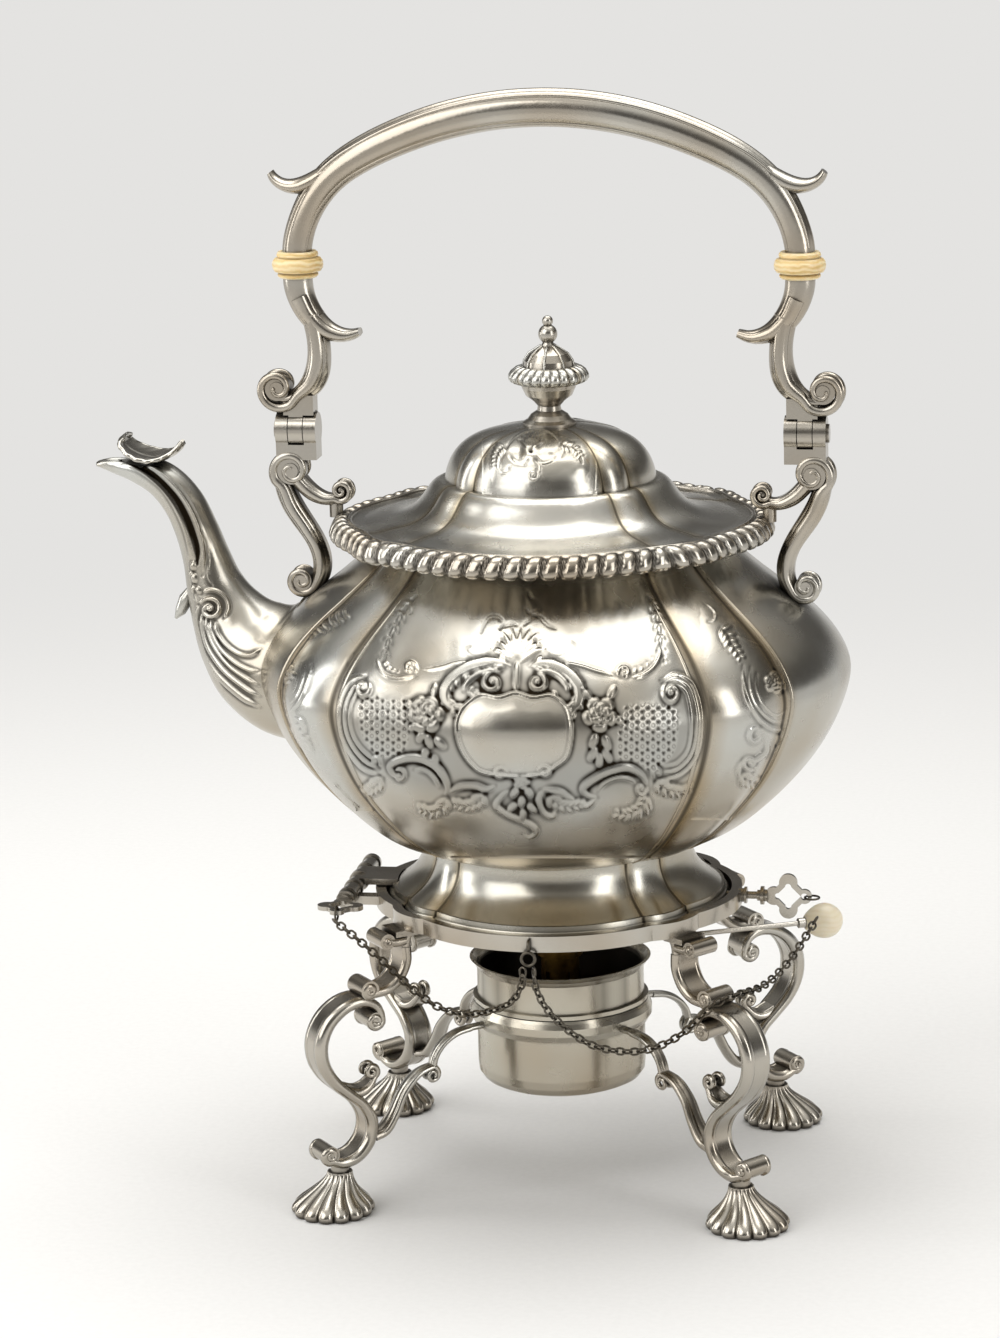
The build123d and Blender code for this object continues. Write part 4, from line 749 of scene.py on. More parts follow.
# %% Search the metal
GROUND_LIFT = 0.06  # mm, so that the sheet covers the facets below it
GRAZING = 0.1  # least cosine at which the sheet can be laid
SPAN_FADE = 2.0  # degrees


def surface_tree(*pieces):
    """Search tree over the faces of some pieces."""
    points = []
    faces = []
    for piece in pieces:
        mesh = piece.data
        spots = np.empty(len(mesh.vertices) * 3)
        mesh.vertices.foreach_get("co", spots)
        mesh.calc_loop_triangles()
        corners = np.empty(len(mesh.loop_triangles) * 3, dtype=int)
        mesh.loop_triangles.foreach_get("vertices", corners)
        faces.extend((corners.reshape(-1, 3) + len(points)).tolist())
        points.extend(spots.reshape(-1, 3).tolist())
    return BVHTree.FromPolygons(points, faces)


# %% Settle a sheet on the metal
def settle(sheet, tree, span, calm):
    """Places and outward normals of the sheet's points, in metres, and how well each is carried.

    Span is the part of the turn around the axis, in degrees from the front, that the sheet covers.
    """
    middle, share, far = sheet.squeeze
    aside = sheet.x - middle
    drawn = middle + aside * (1 - share * (aside / far) ** 2)
    across = (sheet.corner[0] + drawn / sheet.scale - FRAME_SIZE[0] / 2) / FOCAL_UNITS
    down = (sheet.corner[1] + sheet.y / sheet.scale - FRAME_SIZE[1] / 2) / FOCAL_UNITS
    rays = np.array(forward) + across[..., None] * np.array(right) - down[..., None] * np.array(up)
    rays /= np.linalg.norm(rays, axis=2)[..., None]
    reach = np.empty(sheet.x.shape)
    on_metal = np.zeros(sheet.x.shape)
    last = (eye - place(0, -90, 190)).length
    for spot in np.ndindex(*reach.shape):
        ray = Vector(rays[spot].tolist())
        _, normal, _, hit = tree.ray_cast(eye, ray)
        if hit is not None and abs(normal.dot(ray)) > GRAZING:
            last = hit
            on_metal[spot] = 1.0
        reach[spot] = last
    reach = blurred(reach, calm)
    spots = np.array(eye) + rays * reach[..., None]
    down, across = np.gradient(spots, axis=(0, 1))
    normals = np.cross(across, down)
    normals /= np.linalg.norm(normals, axis=2)[..., None]
    facing = np.sign((normals * (np.array(eye) - spots)).sum(axis=2))
    bearing = np.degrees(np.arctan2(spots[..., 0] - AXIS_X, -spots[..., 1]))
    spanned = np.clip(np.minimum(bearing - span[0], span[1] - bearing) / SPAN_FADE, 0, 1)
    return spots, normals * facing[..., None], np.clip(blurred(on_metal, 4) * 8 - 7, 0, 1) * spanned


# %% Final heights
SUNK = -0.07  # mm, depth of the sheet's border below the metal


def finish_heights(sheet, carried, edge=22):
    """Final heights with the lift and the sunk border, and the tarnish in the hollows with the sheet's stains
    and painted shade.
    """
    softened = blurred(sheet.height, 1)
    hollow = np.clip((blurred(sheet.height, 3) - softened - 0.02) * 4.2, 0, 0.72)
    rows, columns = sheet.height.shape
    row = np.minimum(np.arange(rows), np.arange(rows)[::-1])
    column = np.minimum(np.arange(columns), np.arange(columns)[::-1])
    border = np.clip(np.minimum.outer(row, column) / edge, 0, 1)
    border = np.minimum(border, carried)
    border = border * border * (3 - 2 * border)
    worked = softened * 0.7 + sheet.height * 0.3
    ground = GROUND_LIFT + blurred(widened(np.clip(-worked, 0, None), 9), 3)
    heights = SUNK + (worked + ground - SUNK) * border
    return heights, np.clip(hollow + sheet.dirt_and_shade, 0, 1) * border


# %% [markdown]
# A grid primitive with as many points as the sheet is then moved onto the bent places. Points
# that no metal carries are deleted, and the faces are turned outwards by one that is known.

# %% A piece from a sheet
def chased_piece(name, spots, normals, heights, recess, carried, body, finish, copy=None):
    """Mesh piece from part of a bent sheet; copy is turn or mirror for the one on the far side."""
    rows, columns = heights.shape
    bpy.ops.object.select_all(action="DESELECT")
    bpy.ops.mesh.primitive_grid_add(x_subdivisions=columns - 1, y_subdivisions=rows - 1)
    piece = bpy.context.object
    piece.name = name
    raised = spots + normals * heights[..., None] * MM
    if copy == "turn":
        raised = np.stack([2 * AXIS_X - raised[..., 0], -raised[..., 1], raised[..., 2]], axis=-1)
        normals = normals * (-1, -1, 1)
    if copy == "mirror":
        raised = raised * (1, -1, 1)
        normals = normals * (1, -1, 1)
    piece.data.vertices.foreach_set("co", raised.reshape(-1))
    mark_tarnish_and_shade(piece.data, recess)
    piece.data.update()
    bpy.ops.object.mode_set(mode="EDIT")
    bpy.ops.mesh.select_all(action="SELECT")
    bpy.ops.mesh.faces_shade_smooth()
    bpy.ops.mesh.select_all(action="DESELECT")
    bpy.ops.object.mode_set(mode="OBJECT")
    piece.data.vertices.foreach_set("select", (carried <= 0).reshape(-1))
    bpy.ops.object.mode_set(mode="EDIT")
    bpy.ops.mesh.delete(type="VERT")
    bpy.ops.object.mode_set(mode="OBJECT")
    middle = piece.data.polygons[len(piece.data.polygons) // 2]
    nearest = np.argmin(((raised - np.array(middle.center)) ** 2).sum(axis=2))
    if middle.normal.dot(Vector(normals.reshape(-1, 3)[nearest].tolist())) < 0:
        piece.data.flip_normals()
    return assign(piece, body, finish)


# %% Lay a sheet and its copy
WIDE = 300  # columns, above which the far copy gets half the points each way


def lay_sheet(name, sheet, tree, body, finish, cuts=1, copy="turn", span=(-181, 181), calm=3):
    """Bends a sheet and makes its pieces, with a copy of each on the far side."""
    spots, normals, carried = settle(sheet, tree, span, calm)
    heights, recess = finish_heights(sheet, carried)
    columns = heights.shape[1]
    marks = [round(columns * cut / cuts) for cut in range(cuts + 1)]
    for number, (start, end) in enumerate(zip(marks[:-1], marks[1:])):
        part = np.s_[:, start:min(end + 1, columns)]
        chased_piece(f"{name}_front_{number + 1}", spots[part], normals[part], heights[part],
                     recess[part], carried[part], body, finish)
        if cuts > 1 or columns > WIDE:
            part = np.s_[::2, start:min(end + 1, columns):2]
        chased_piece(f"{name}_back_{number + 1}", spots[part], normals[part], heights[part],
                     recess[part], carried[part], body, finish, copy=copy)
    print(name, "laid:", heights.size, "points,", sheet)


# %% [markdown]
# The front panel: a bare shield in the middle under a shell and two great plumes, a rose on each
# side before a beaded diaper, tall C scrolls that close the panel, and hanging scrolls below.
# The numbers are places on the drawing, which is three times as large as the drawing frame.

# %% Front panel
FRONT_CORNER = (300.0, 560.0)
FRONT_SCALE = 3.0154
front = ChasedSheet(FRONT_CORNER, FRONT_SCALE, (20, -66), (1310, 900), 3.0, squeeze=(655.0, 0.075, 600.0))

LEFT_DIAPER = ((150, 430), (205, 405), (250, 415), (325, 425), (330, 500), (320, 560), (290, 590),
               (240, 600), (205, 590), (165, 540), (148, 490))
RIGHT_DIAPER = ((985, 440), (1050, 430), (1110, 430), (1165, 450), (1172, 520), (1150, 590),
                (1075, 640), (1020, 610), (965, 600), (960, 520))
SHIELD = ((545, 408), (497, 440), (474, 480), (473, 520), (485, 565), (510, 605), (545, 635), (600, 646),
          (650, 650), (700, 648), (740, 640), (770, 620), (805, 590), (818, 530), (815, 480), (800, 440),
          (757, 410), (700, 415), (650, 402), (600, 415))
PANEL = ((90, 430), (130, 375), (250, 395), (430, 345), (560, 300), (750, 300), (880, 345), (1050, 410),
         (1180, 375), (1245, 430), (1250, 540), (1180, 650), (1040, 720), (850, 750), (720, 815), (650, 820),
         (560, 760), (430, 745), (260, 690), (150, 640), (90, 540))
stain_and_shade(front, PANEL, 0.3, 60)
diaper(front, LEFT_DIAPER, 36.0, 0.4)
diaper(front, RIGHT_DIAPER, 36.0, 0.4)
print("front with its diapers:", front)

# %% [markdown]
# The panel is bordered by two long leafy lines and by tall C scrolls of three reeds each, whose
# ends are curled.

# %% Borders of the panel
for path in (((345, 108), (300, 160), (270, 210), (250, 250), (240, 300), (225, 330)),
             ((1060, 108), (1090, 150), (1105, 220), (1110, 270), (1120, 310))):
    ridge(front, path, 9, 0.2, groove=0.3, ends=0.4)
    frill(front, path, 6, 20, 7, 0.2, side=0, lean=40)

for shift, rise in ((0, 0.95), (20, 0.7), (38, 0.45)):
    left_frame = ((180 - shift * 0.2, 352 + shift * 0.4), (140 + shift * 0.4, 360 + shift * 0.6),
                  (105 + shift * 0.9, 388 + shift * 0.5), (85 + shift, 430 + shift * 0.2), (80 + shift, 480),
                  (90 + shift, 530 - shift * 0.2), (120 + shift * 0.8, 580 - shift * 0.6),
                  (165 + shift * 0.5, 625 - shift), (228, 650 - shift))
    ridge(front, left_frame, 15, rise, groove=0.4, ends=0.12)
    right_frame = ((1105 + shift * 0.3, 365 + shift * 0.5), (1160 - shift * 0.2, 346 + shift * 0.7),
                   (1215 - shift * 0.6, 368 + shift * 0.6), (1244 - shift * 0.9, 420 + shift * 0.2),
                   (1256 - shift, 480), (1252 - shift, 540), (1234 - shift * 0.9, 590 - shift * 0.3),
                   (1198 - shift * 0.6, 630 - shift * 0.7), (1150, 655 - shift), (1100, 660 - shift))
    ridge(front, right_frame, 15, rise, groove=0.4, ends=0.12)
volute(front, 168, 388, 27, -60, 1.5, 12, 1.2)
volute(front, 1142, 402, 32, -110, -1.6, 13, 1.3)
volute(front, 212, 606, 18, 60, -1.1, 10, 0.9)
volute(front, 1094, 640, 18, 110, 1.1, 10, 0.9)
print("front with its borders:", front)

# %% Thin scrolls between the plumes and the frame
ridge(front, ((215, 290), (222, 320), (240, 345), (270, 356), (310, 356), (345, 350)), 12, 0.8)
volute(front, 326, 326, 22, 60, -1.3, 9, 0.9)
ridge(front, ((345, 320), (380, 330), (425, 325), (470, 312), (520, 306), (560, 300), (600, 305)), 10, 0.7)
volute(front, 985, 340, 22, 120, 1.3, 9, 0.9)
ridge(front, ((962, 352), (900, 337), (850, 322), (800, 313), (756, 316)), 10, 0.7)
ridge(front, ((1000, 356), (1040, 350), (1080, 325), (1102, 290), (1108, 262)), 11, 0.8)
frill(front, ((230, 300), (250, 330), (290, 345)), 4, 13, 6, 0.6, side=-1)
frill(front, ((1000, 350), (1050, 335), (1090, 300)), 4, 13, 6, 0.6, side=-1)
print("front with its thin scrolls:", front)

# %% [markdown]
# Over the shield stands a palmette, a fan of nine narrow lobes, under light engraved sprays.

# %% Palmette and sprays
for tip in ((566, 262), (588, 236), (612, 216), (640, 205), (668, 202), (694, 206), (718, 218),
            (736, 238), (752, 262)):
    ridge(front, ((655, 318), ((655 + tip[0]) / 2, (300 + tip[1]) / 2), tip), 18, 0.55, groove=0.16,
          ends=0.35)
ridge(front, ((655, 300), (652, 350), (651, 400)), 16, 1.0, vein=0.25)
for path in (((560, 292), (530, 296), (505, 286), (498, 270), (512, 262)),
             ((748, 288), (780, 296), (815, 284), (832, 262), (818, 246)),
             ((545, 222), (556, 192), (574, 172), (600, 174), (612, 192), (604, 210)),
             ((770, 208), (748, 196), (722, 172), (704, 168)),
             ((690, 100), (694, 114), (710, 122), (722, 140), (712, 158), (690, 160), (683, 148))):
    ridge(front, path, 7, 0.15, groove=0.3, ends=0.35)
for path in (((560, 290), (590, 262), (610, 240)), ((750, 286), (722, 258), (706, 238)),
             ((604, 206), (630, 196), (652, 196)), ((704, 168), (690, 184), (676, 196))):
    ridge(front, path, 6, 0.12, groove=0.28, ends=0.4)
print("front with its palmette:", front)

# %% [markdown]
# Two great plumes roll over the shield. Each is a wide stroke between two rows of leaflets, with
# smaller scrolls curled under it.

# %% Plumes
left_plume = ((640, 322), (600, 309), (560, 311), (510, 324), (468, 348), (440, 378), (432, 412),
              (446, 440), (470, 455))
right_plume = ((690, 322), (730, 313), (780, 326), (820, 352), (846, 390), (842, 428), (818, 462))
for path, hand in ((left_plume, 1), (right_plume, -1)):
    frill(front, path, 9, 30, 13, 0.95, side=-hand, lean=38, shrink=0.2)
    frill(front, path, 8, 20, 9, 0.8, side=hand, lean=36, shrink=0.2)
    ridge(front, path, 34, 1.35, vein=0.35)
ridge(front, ((610, 342), (570, 336), (528, 350), (500, 374), (492, 398)), 16, 1.0)
ridge(front, ((706, 342), (742, 338), (780, 352), (804, 378), (806, 402)), 16, 1.0)
volute(front, 580, 371, 30, -70, -1.5, 13, 1.3)
volute(front, 716, 371, 28, -110, 1.5, 13, 1.3)
volute(front, 527, 400, 17, -90, -1.2, 9, 1.0)
volute(front, 757, 410, 15, -90, 1.2, 9, 1.0)
print("front with its plumes:", front)

# %% [markdown]
# The shield is smooth and slightly domed inside a raised border, and a rose with its leaves
# hangs on each side of it.

# %% Shield and roses
boss(front, SHIELD, 0.9, 46)
ridge(front, SHIELD, 9, 1.15, groove=0.3, closed=True)

for x, y, turn in ((385, 545, 70), (362, 528, 120), (420, 552, 40), (345, 500, 160), (330, 440, 215),
                   (402, 395, 280), (372, 590, 95), (405, 610, 80)):
    petal(front, x, y, turn, 26, 12, 0.9, vein=0.25)
flower(front, 375, 465, 58, 6, 1.5)
for x, y, turn in ((945, 400, 300), (928, 552, 70), (888, 545, 110), (906, 602, 90), (960, 480, 20),
                   (868, 410, 230), (930, 590, 60), (885, 585, 120)):
    petal(front, x, y, turn, 26, 12, 0.9, vein=0.25)
flower(front, 908, 465, 54, 5, 1.5, turn=20)
print("front with its shield and roses:", front)

# %% [markdown]
# Scrolls, sprays and a small tassel hang below the shield.

# %% Hanging scrolls
ridge(front, ((300, 668), (268, 640), (262, 618), (300, 600), (350, 596), (400, 616), (432, 652), (445, 690),
             (430, 712)), 24, 1.15, vein=0.25)
ridge(front, ((335, 632), (372, 632), (402, 655), (420, 690)), 10, 0.8)
volute(front, 292, 648, 22, 200, 1.3, 10, 1.0)
ridge(front, ((445, 702), (482, 682), (530, 680), (562, 690), (592, 680)), 20, 1.0, vein=0.2)
ridge(front, ((905, 716), (868, 708), (856, 684), (900, 652), (950, 632), (1000, 626), (1045, 650),
             (1062, 692)), 24, 1.15, vein=0.25)
ridge(front, ((900, 702), (922, 672), (962, 656), (1002, 660), (1032, 682)), 10, 0.8)
volute(front, 1040, 690, 20, -40, 1.3, 10, 1.0)
ridge(front, ((900, 716), (862, 740), (820, 724), (790, 700), (757, 692), (722, 690)), 20, 1.0, vein=0.2)
for path, hand in ((((240, 655), (215, 680), (180, 700), (150, 715)), 1),
                   (((1080, 664), (1120, 690), (1170, 700), (1215, 690)), -1),
                   (((445, 712), (430, 745), (396, 760), (360, 752)), 1),
                   (((1060, 700), (1040, 740), (1000, 762), (960, 762)), -1),
                   (((560, 700), (540, 728), (506, 742), (470, 736)), 1),
                   (((745, 704), (770, 730), (808, 744), (850, 738)), -1)):
    ridge(front, path, 13, 0.8, ends=0.5)
    frill(front, path, 7, 28, 11, 0.8, side=hand, lean=42)
    frill(front, path, 6, 20, 9, 0.7, side=-hand, lean=42)
volute(front, 605, 640, 22, 30, -1.4, 11, 1.1)
volute(front, 738, 636, 22, 150, 1.4, 11, 1.1)
ridge(front, ((640, 690), (612, 708), (592, 738), (618, 762), (660, 780), (700, 800), (712, 820),
             (692, 836), (668, 826)), 18, 1.0, vein=0.2)
ridge(front, ((735, 690), (720, 720), (735, 760), (764, 772), (768, 748)), 16, 0.9)
print("front with its hanging scrolls:", front)

# %% Tassel, and the finished front
for x, y, turn in ((668, 672, 90), (648, 700, 120), (690, 700, 60), (668, 730, 90), (640, 745, 140),
                   (700, 748, 40), (672, 768, 90)):
    petal(front, x, y, turn, 20, 10, 1.0, vein=0.2)
flower(front, 668, 668, 24, 5, 1.1)

body_tree = surface_tree(nodes["kettle_body"])
lay_sheet("front_chasing", front, body_tree, "kettle", body_silver, cuts=2,
          span=(-40.5, 40.5))


# %% [markdown]
# The narrow lobes beside the front panel carry an oval flower in a frame of C scrolls, with a
# leafy vine above it that runs along the crease. They are drawn on two more sheets, twice as
# fine, because the metal turns away there and the drawing is seen small.

# %% Right corner
right_corner = ChasedSheet((700.0, 560.0), 6.533, (-60, -160), (900, 1700), 6.0)
for path, width, height in (
        (((20, 280), (60, 300), (100, 350), (90, 400), (50, 405)), 16, 0.6),
        (((180, 440), (230, 490), (330, 540), (450, 585)), 14, 0.5),
        (((120, 470), (150, 540), (210, 590), (262, 640)), 14, 0.5),
        (((280, 690), (285, 800), (320, 920), (380, 1030), (450, 1090), (510, 1105), (560, 1090),
          (612, 1040)), 26, 0.9),
        (((330, 700), (325, 810), (350, 910), (400, 990), (470, 1045), (540, 1040), (592, 990)), 18, 0.7),
        (((370, 740), (365, 820), (390, 900), (420, 950), (480, 1005), (530, 1000), (570, 960),
          (600, 905)), 16, 0.6),
        (((400, 1085), (340, 1100), (320, 1150), (340, 1185), (380, 1170), (410, 1140)), 24, 0.8),
        (((410, 1170), (440, 1200), (430, 1260), (380, 1300), (340, 1310), (280, 1300)), 26, 0.9),
        (((500, 1130), (540, 1190), (560, 1260), (540, 1310)), 20, 0.6),
        (((300, 1290), (262, 1340), (250, 1400), (300, 1440)), 20, 0.7)):
    ridge(right_corner, path, width, height, ends=0.3)
frill(right_corner, ((120, 440), (170, 480), (200, 540), (240, 600), (270, 650)), 6, 44, 18, 0.6, side=0)
frill(right_corner, ((250, 1400), (310, 1440), (380, 1460), (450, 1470)), 6, 44, 18, 0.6, side=0)
frill(right_corner, ((500, 1130), (548, 1200), (556, 1290)), 5, 40, 16, 0.6, side=1)
volute(right_corner, 322, 1326, 48, 40, 1.4, 22, 0.9)
flower(right_corner, 490, 800, 74, 6, 1.3, turn=20)
lay_sheet("right_chasing", right_corner, body_tree, "kettle", body_silver,
          span=(39.5, 62))

# %% Left corner
left_corner = ChasedSheet((240.0, 560.0), 6.533, (130, -160), (1200, 1640), 6.0)
for path, width, height in (
        (((470, 680), (440, 800), (390, 920), (310, 1010), (262, 1040)), 26, 0.9),
        (((430, 685), (405, 800), (360, 900), (290, 968), (240, 985)), 18, 0.7),
        (((390, 690), (370, 800), (330, 880), (262, 930), (222, 902)), 16, 0.6),
        (((330, 1020), (390, 1040), (420, 1090), (400, 1130), (360, 1120)), 24, 0.8),
        (((380, 1200), (440, 1200), (470, 1250), (455, 1285)), 22, 0.7),
        (((690, 690), (720, 660), (770, 680), (800, 620), (830, 580), (880, 572), (892, 500), (940, 500),
          (972, 400), (1045, 340)), 14, 0.5),
        (((840, 660), (872, 650), (902, 700), (950, 740), (1045, 760)), 14, 0.5)):
    ridge(left_corner, path, width, height, ends=0.3)
frill(left_corner, ((380, 490), (450, 450), (540, 420), (640, 380), (700, 350)), 7, 48, 18, 0.7, side=0)
frill(left_corner, ((700, 690), (790, 640), (870, 570), (940, 500)), 7, 40, 16, 0.6, side=-1)
frill(left_corner, ((330, 1060), (380, 1120), (420, 1200), (455, 1290)), 6, 44, 18, 0.6, side=0)
flower(left_corner, 300, 745, 70, 6, 1.2, turn=10)
lay_sheet("left_chasing", left_corner, body_tree, "kettle", body_silver,
          span=(-62, -39.5))

# %% [markdown]
# On the front of the dome sits a small cartouche: a shell under an arch of scrolls.

# %% Dome cartouche
dome = ChasedSheet((440.0, 360.0), 7.127, (300, 330), (1120, 960), 5.0)
for tip in ((560, 575), (590, 545), (622, 528), (655, 522), (690, 528), (722, 545), (750, 575)):
    ridge(dome, ((652, 668), ((652 + tip[0]) / 2, (640 + tip[1]) / 2), tip), 30, 0.6, groove=0.4, ends=0.35)
for path, width, height in (
        (((470, 640), (500, 590), (545, 548), (640, 508), (760, 508), (832, 560), (856, 620), (822, 662),
          (772, 668)), 12, 0.25),
        (((400, 700), (410, 760), (440, 812), (490, 800), (500, 760)), 12, 0.25),
        (((500, 690), (545, 730), (600, 745), (640, 720)), 10, 0.25),
        (((680, 720), (730, 742), (790, 726), (830, 690)), 10, 0.25),
        (((870, 700), (930, 645), (985, 668), (1012, 738)), 12, 0.25),
        (((860, 560), (900, 578), (942, 602)), 14, 0.2),
        (((690, 700), (712, 760), (706, 806), (676, 850)), 10, 0.25)):
    ridge(dome, path, width + 2, height + 0.35, groove=0.45, ends=0.3)
frill(dome, ((470, 610), (430, 640), (400, 690), (396, 740)), 6, 38, 15, 0.45, side=0)
frill(dome, ((850, 600), (900, 620), (950, 630), (1000, 690)), 6, 38, 15, 0.45, side=0)
volute(dome, 665, 822, 44, -60, 1.3, 16, 0.6)
lay_sheet("dome_chasing", dome, surface_tree(nodes["lid"]), "lid", lid_silver)


# %% [markdown]
# ## Beads and reeds
# Every crease of the body has a rounded bead along it, and every cast scroll has a reed along
# each edge that winds up into its volutes. All of these are one kind of form, a round wire whose
# thickness changes on the way, so they come from bevelled curves, converted to meshes.

# %% Wires of changing thickness
def wires(name, runs, body, finish):
    """One piece of round wires; each run is a list of (x, y, z, radius) in mm from the axis."""
    curve = bpy.data.curves.new(name, "CURVE")
    curve.dimensions = "3D"
    curve.bevel_depth = MM
    curve.bevel_resolution = 2
    curve.use_fill_caps = True
    for run in runs:
        spline = curve.splines.new("POLY")
        spline.points.add(len(run) - 1)
        for point, (x, y, z, radius) in zip(spline.points, run):
            point.co = (*place(float(x), float(y), float(z)), 1.0)
            point.radius = float(radius)
    add_piece(name, curve)
    bpy.ops.object.convert(target="MESH")
    return finished(bpy.context.object, body, finish)


def turned_run(run, degrees):
    """A run turned about the stand's axis."""
    bend = math.radians(degrees)
    run = np.array(run, dtype=float)
    x = run[:, 0] * math.cos(bend) - run[:, 1] * math.sin(bend)
    y = run[:, 0] * math.sin(bend) + run[:, 1] * math.cos(bend)
    return np.c_[x, y, run[:, 2:]]


# %% [markdown]
# The beads of the body follow its metal. At each height a horizontal line of sight from outside
# finds the surface beside the crease.

# %% Beads beside the creases
BEAD_ASIDE = (-2.2, 2.6)  # degrees from each crease
FOOT_TOP_Z, NECK_Z = 124.0, 224.0
OUTSIDE = 0.4  # m from the axis, where the line of sight starts


def beside(tree, degrees, height, lift=0.0):
    """Point on the metal at an angle from the front and a height, in mm from the axis."""
    bend = math.radians(degrees)
    outward = Vector((math.sin(bend), -math.cos(bend), 0))
    start = place(0, 0, height) + outward * OUTSIDE
    hit = tree.ray_cast(start, -outward)[3]
    reach = OUTSIDE / MM - hit / MM + lift
    return outward.x * reach, outward.y * reach, height


runs = []
for quarter in (1, -1):
    for back in (0.0, 180.0):
        for crease, aside in zip(CREASE_ANGLES, BEAD_ASIDE):
            run = []
            for height in np.linspace(FOOT_TOP_Z, NECK_Z, 60):
                share = (height - FOOT_TOP_Z) / (NECK_Z - FOOT_TOP_Z)
                spot = beside(body_tree, back + quarter * (crease + aside), float(height), -0.35)
                run.append((*spot, 1.05 * math.sin(math.pi * (0.06 + 0.9 * share)) ** 0.5))
            runs.append(run)
wires("crease_beads", runs, "kettle", body_silver)
print("beads beside the creases:", len(runs))

# %% [markdown]
# Each scroll's line is a row of stations: sideways, up, thickness and width. Both its edge
# reeds follow the line and then wind into the roll at its end, one coil inside the other.

# %% Reeds of the cast scrolls
def wound(stations, centre, radius, turns=1.5):
    """Stations with a spiral added at the end, around a roll's centre."""
    x, z, thickness, width = stations[-1]
    heading = np.subtract(stations[-1][:2], stations[-2][:2])
    spoke = np.subtract((x, z), centre)
    reach = math.hypot(*spoke)
    start = math.atan2(spoke[1], spoke[0])
    way = math.copysign(1.0, spoke[0] * heading[1] - spoke[1] * heading[0])
    coil = []
    for share in np.linspace(0.06, 1.0, 22):
        angle = start + way * share * turns * 2 * math.pi
        far = reach * (1 - share) + 0.2 * radius * share
        coil.append((centre[0] + far * math.cos(angle), centre[1] + far * math.sin(angle),
                     thickness * 0.75 * (1 - share) + 0.8, width + 1.7 * share))
    return [*stations, *coil]


def edge_reeds(stations, origin=(0.0, 0.0), start=None, end=None, strap=True, side=1):
    """The two reeds of a limb in the XZ plane; start and end are (x, z, radius) of its rolls."""
    stations = [tuple(station) for station in stations]
    if end:
        stations = wound(stations, end[:2], end[2])
    if start:
        stations = wound(stations[::-1], start[:2], start[2])[::-1]
    line, _ = smooth_line(stations, density=1.0)
    runs = []
    for hand in (-1, 1):
        radius = line[:, 2] * (0.5 if strap else 0.3) + 0.3
        across = line[:, 3] / 2 - radius * (0.75 if strap else 0.5)
        runs.append(np.c_[side * (origin[0] + line[:, 0]), hand * across, origin[1] + line[:, 1], radius])
    return runs


# %% [markdown]
# A leg is a great C scroll with a small one at its top, a brow where it meets the ring, and a
# leaf at its waist. One leg is drawn in its own plane and turned to the four corners.

# %% Reeds of the legs
RING_EDGE = 64.4
RING_UNDER = 98.0
LEG_WIDE = 11.0
STRAP = 3.0
CORNERS = {"front_right": -38.0, "back_right": 38.0, "front_left": 218.0, "back_left": 142.0}
leg_upper = [(x, z, STRAP, LEG_WIDE) for x, z in ((-1.8, -6.0), (-1.7, -11.5), (1.2, -17.0), (6.0, -20.2),
                                                  (11.6, -20.8))]
leg_brow = [(x, z, STRAP, LEG_WIDE) for x, z in ((-1.4, -3.6), (2.1, -3.8), (5.2, -3.0))]
leg_large = [(x, z, thick, LEG_WIDE) for x, z, thick in (
    (8.5, 67.6, 2.2), (10.4, 72.6, 2.8), (15.4, 75.0, 3.4), (22.2, 73.8, 3.8), (28.2, 69.2, 4.2),
    (31.4, 62.4, 4.4), (31.0, 55.0, 4.2), (27.4, 48.4, 3.8), (21.8, 43.0, 3.4), (16.4, 38.0, 3.4),
    (13.2, 31.6, 3.8), (14.2, 25.0, 4.0), (18.6, 20.0, 3.8), (24.4, 18.4, 3.4), (28.8, 19.8, 2.6))]
leg_leaf = [(22.0, 43.8, 3.0, 8.8), (17.4, 42.2, 3.0, 8.8), (13.4, 43.4, 2.4, 7.7), (10.8, 46.4, 1.8, 5.5)]
leg_runs = edge_reeds(leg_upper, (RING_EDGE, RING_UNDER), end=(13.0, -19.2, 3.4))
leg_runs += edge_reeds(leg_brow, (RING_EDGE, RING_UNDER), end=(5.8, -3.0, 2.8))
leg_runs += edge_reeds(leg_large, (RING_EDGE, 0.0), start=(11.2, 67.6, 3.1), end=(29.8, 22.2, 3.2))
leg_runs += edge_reeds(leg_leaf, (RING_EDGE, 0.0), end=(12.0, 48.6, 2.0))
print("reeds of a leg:", len(leg_runs))

# %% Reeds of the struts
STRUT_ROOT = (75.6, 24.8)
STRUT_MEET = (52.0, 45.8)
strut_outer = [(0.0, 0.0, 4.0, 6.4), (-4.6, 1.6, 3.8, 6.2), (-8.8, 7.2, 3.4, 5.6), (-12.4, 14.0, 3.0, 5.0),
               (-17.8, 19.2, 2.8, 4.4), (-23.6, 21.0, 2.4, 4.0)]
strut_inner = [(-0.4, -0.2, 2.4, 3.6), (-1.4, 3.6, 2.4, 3.6), (-4.6, 7.6, 2.4, 3.6), (-9.6, 10.4, 2.4, 3.6),
               (-15.4, 11.4, 2.4, 3.6)]
strut_runs = edge_reeds(strut_outer, STRUT_ROOT, end=(-23.2, 18.4, 2.6), strap=False)
strut_runs += edge_reeds(strut_inner, STRUT_MEET, strap=False)
for corner, degrees in CORNERS.items():
    wires(f"leg_reeds_{corner}", [turned_run(run, degrees) for run in leg_runs], "stand",
          cast_silver)
    wires(f"strut_reeds_{corner}", [turned_run(run, degrees) for run in strut_runs], "stand",
          cast_silver)

# %% [markdown]
# The brackets on the mouth and the arms of the handle meet in the hinges, so their lines are
# measured from the middle of the hinge. The left side is the right one reflected.

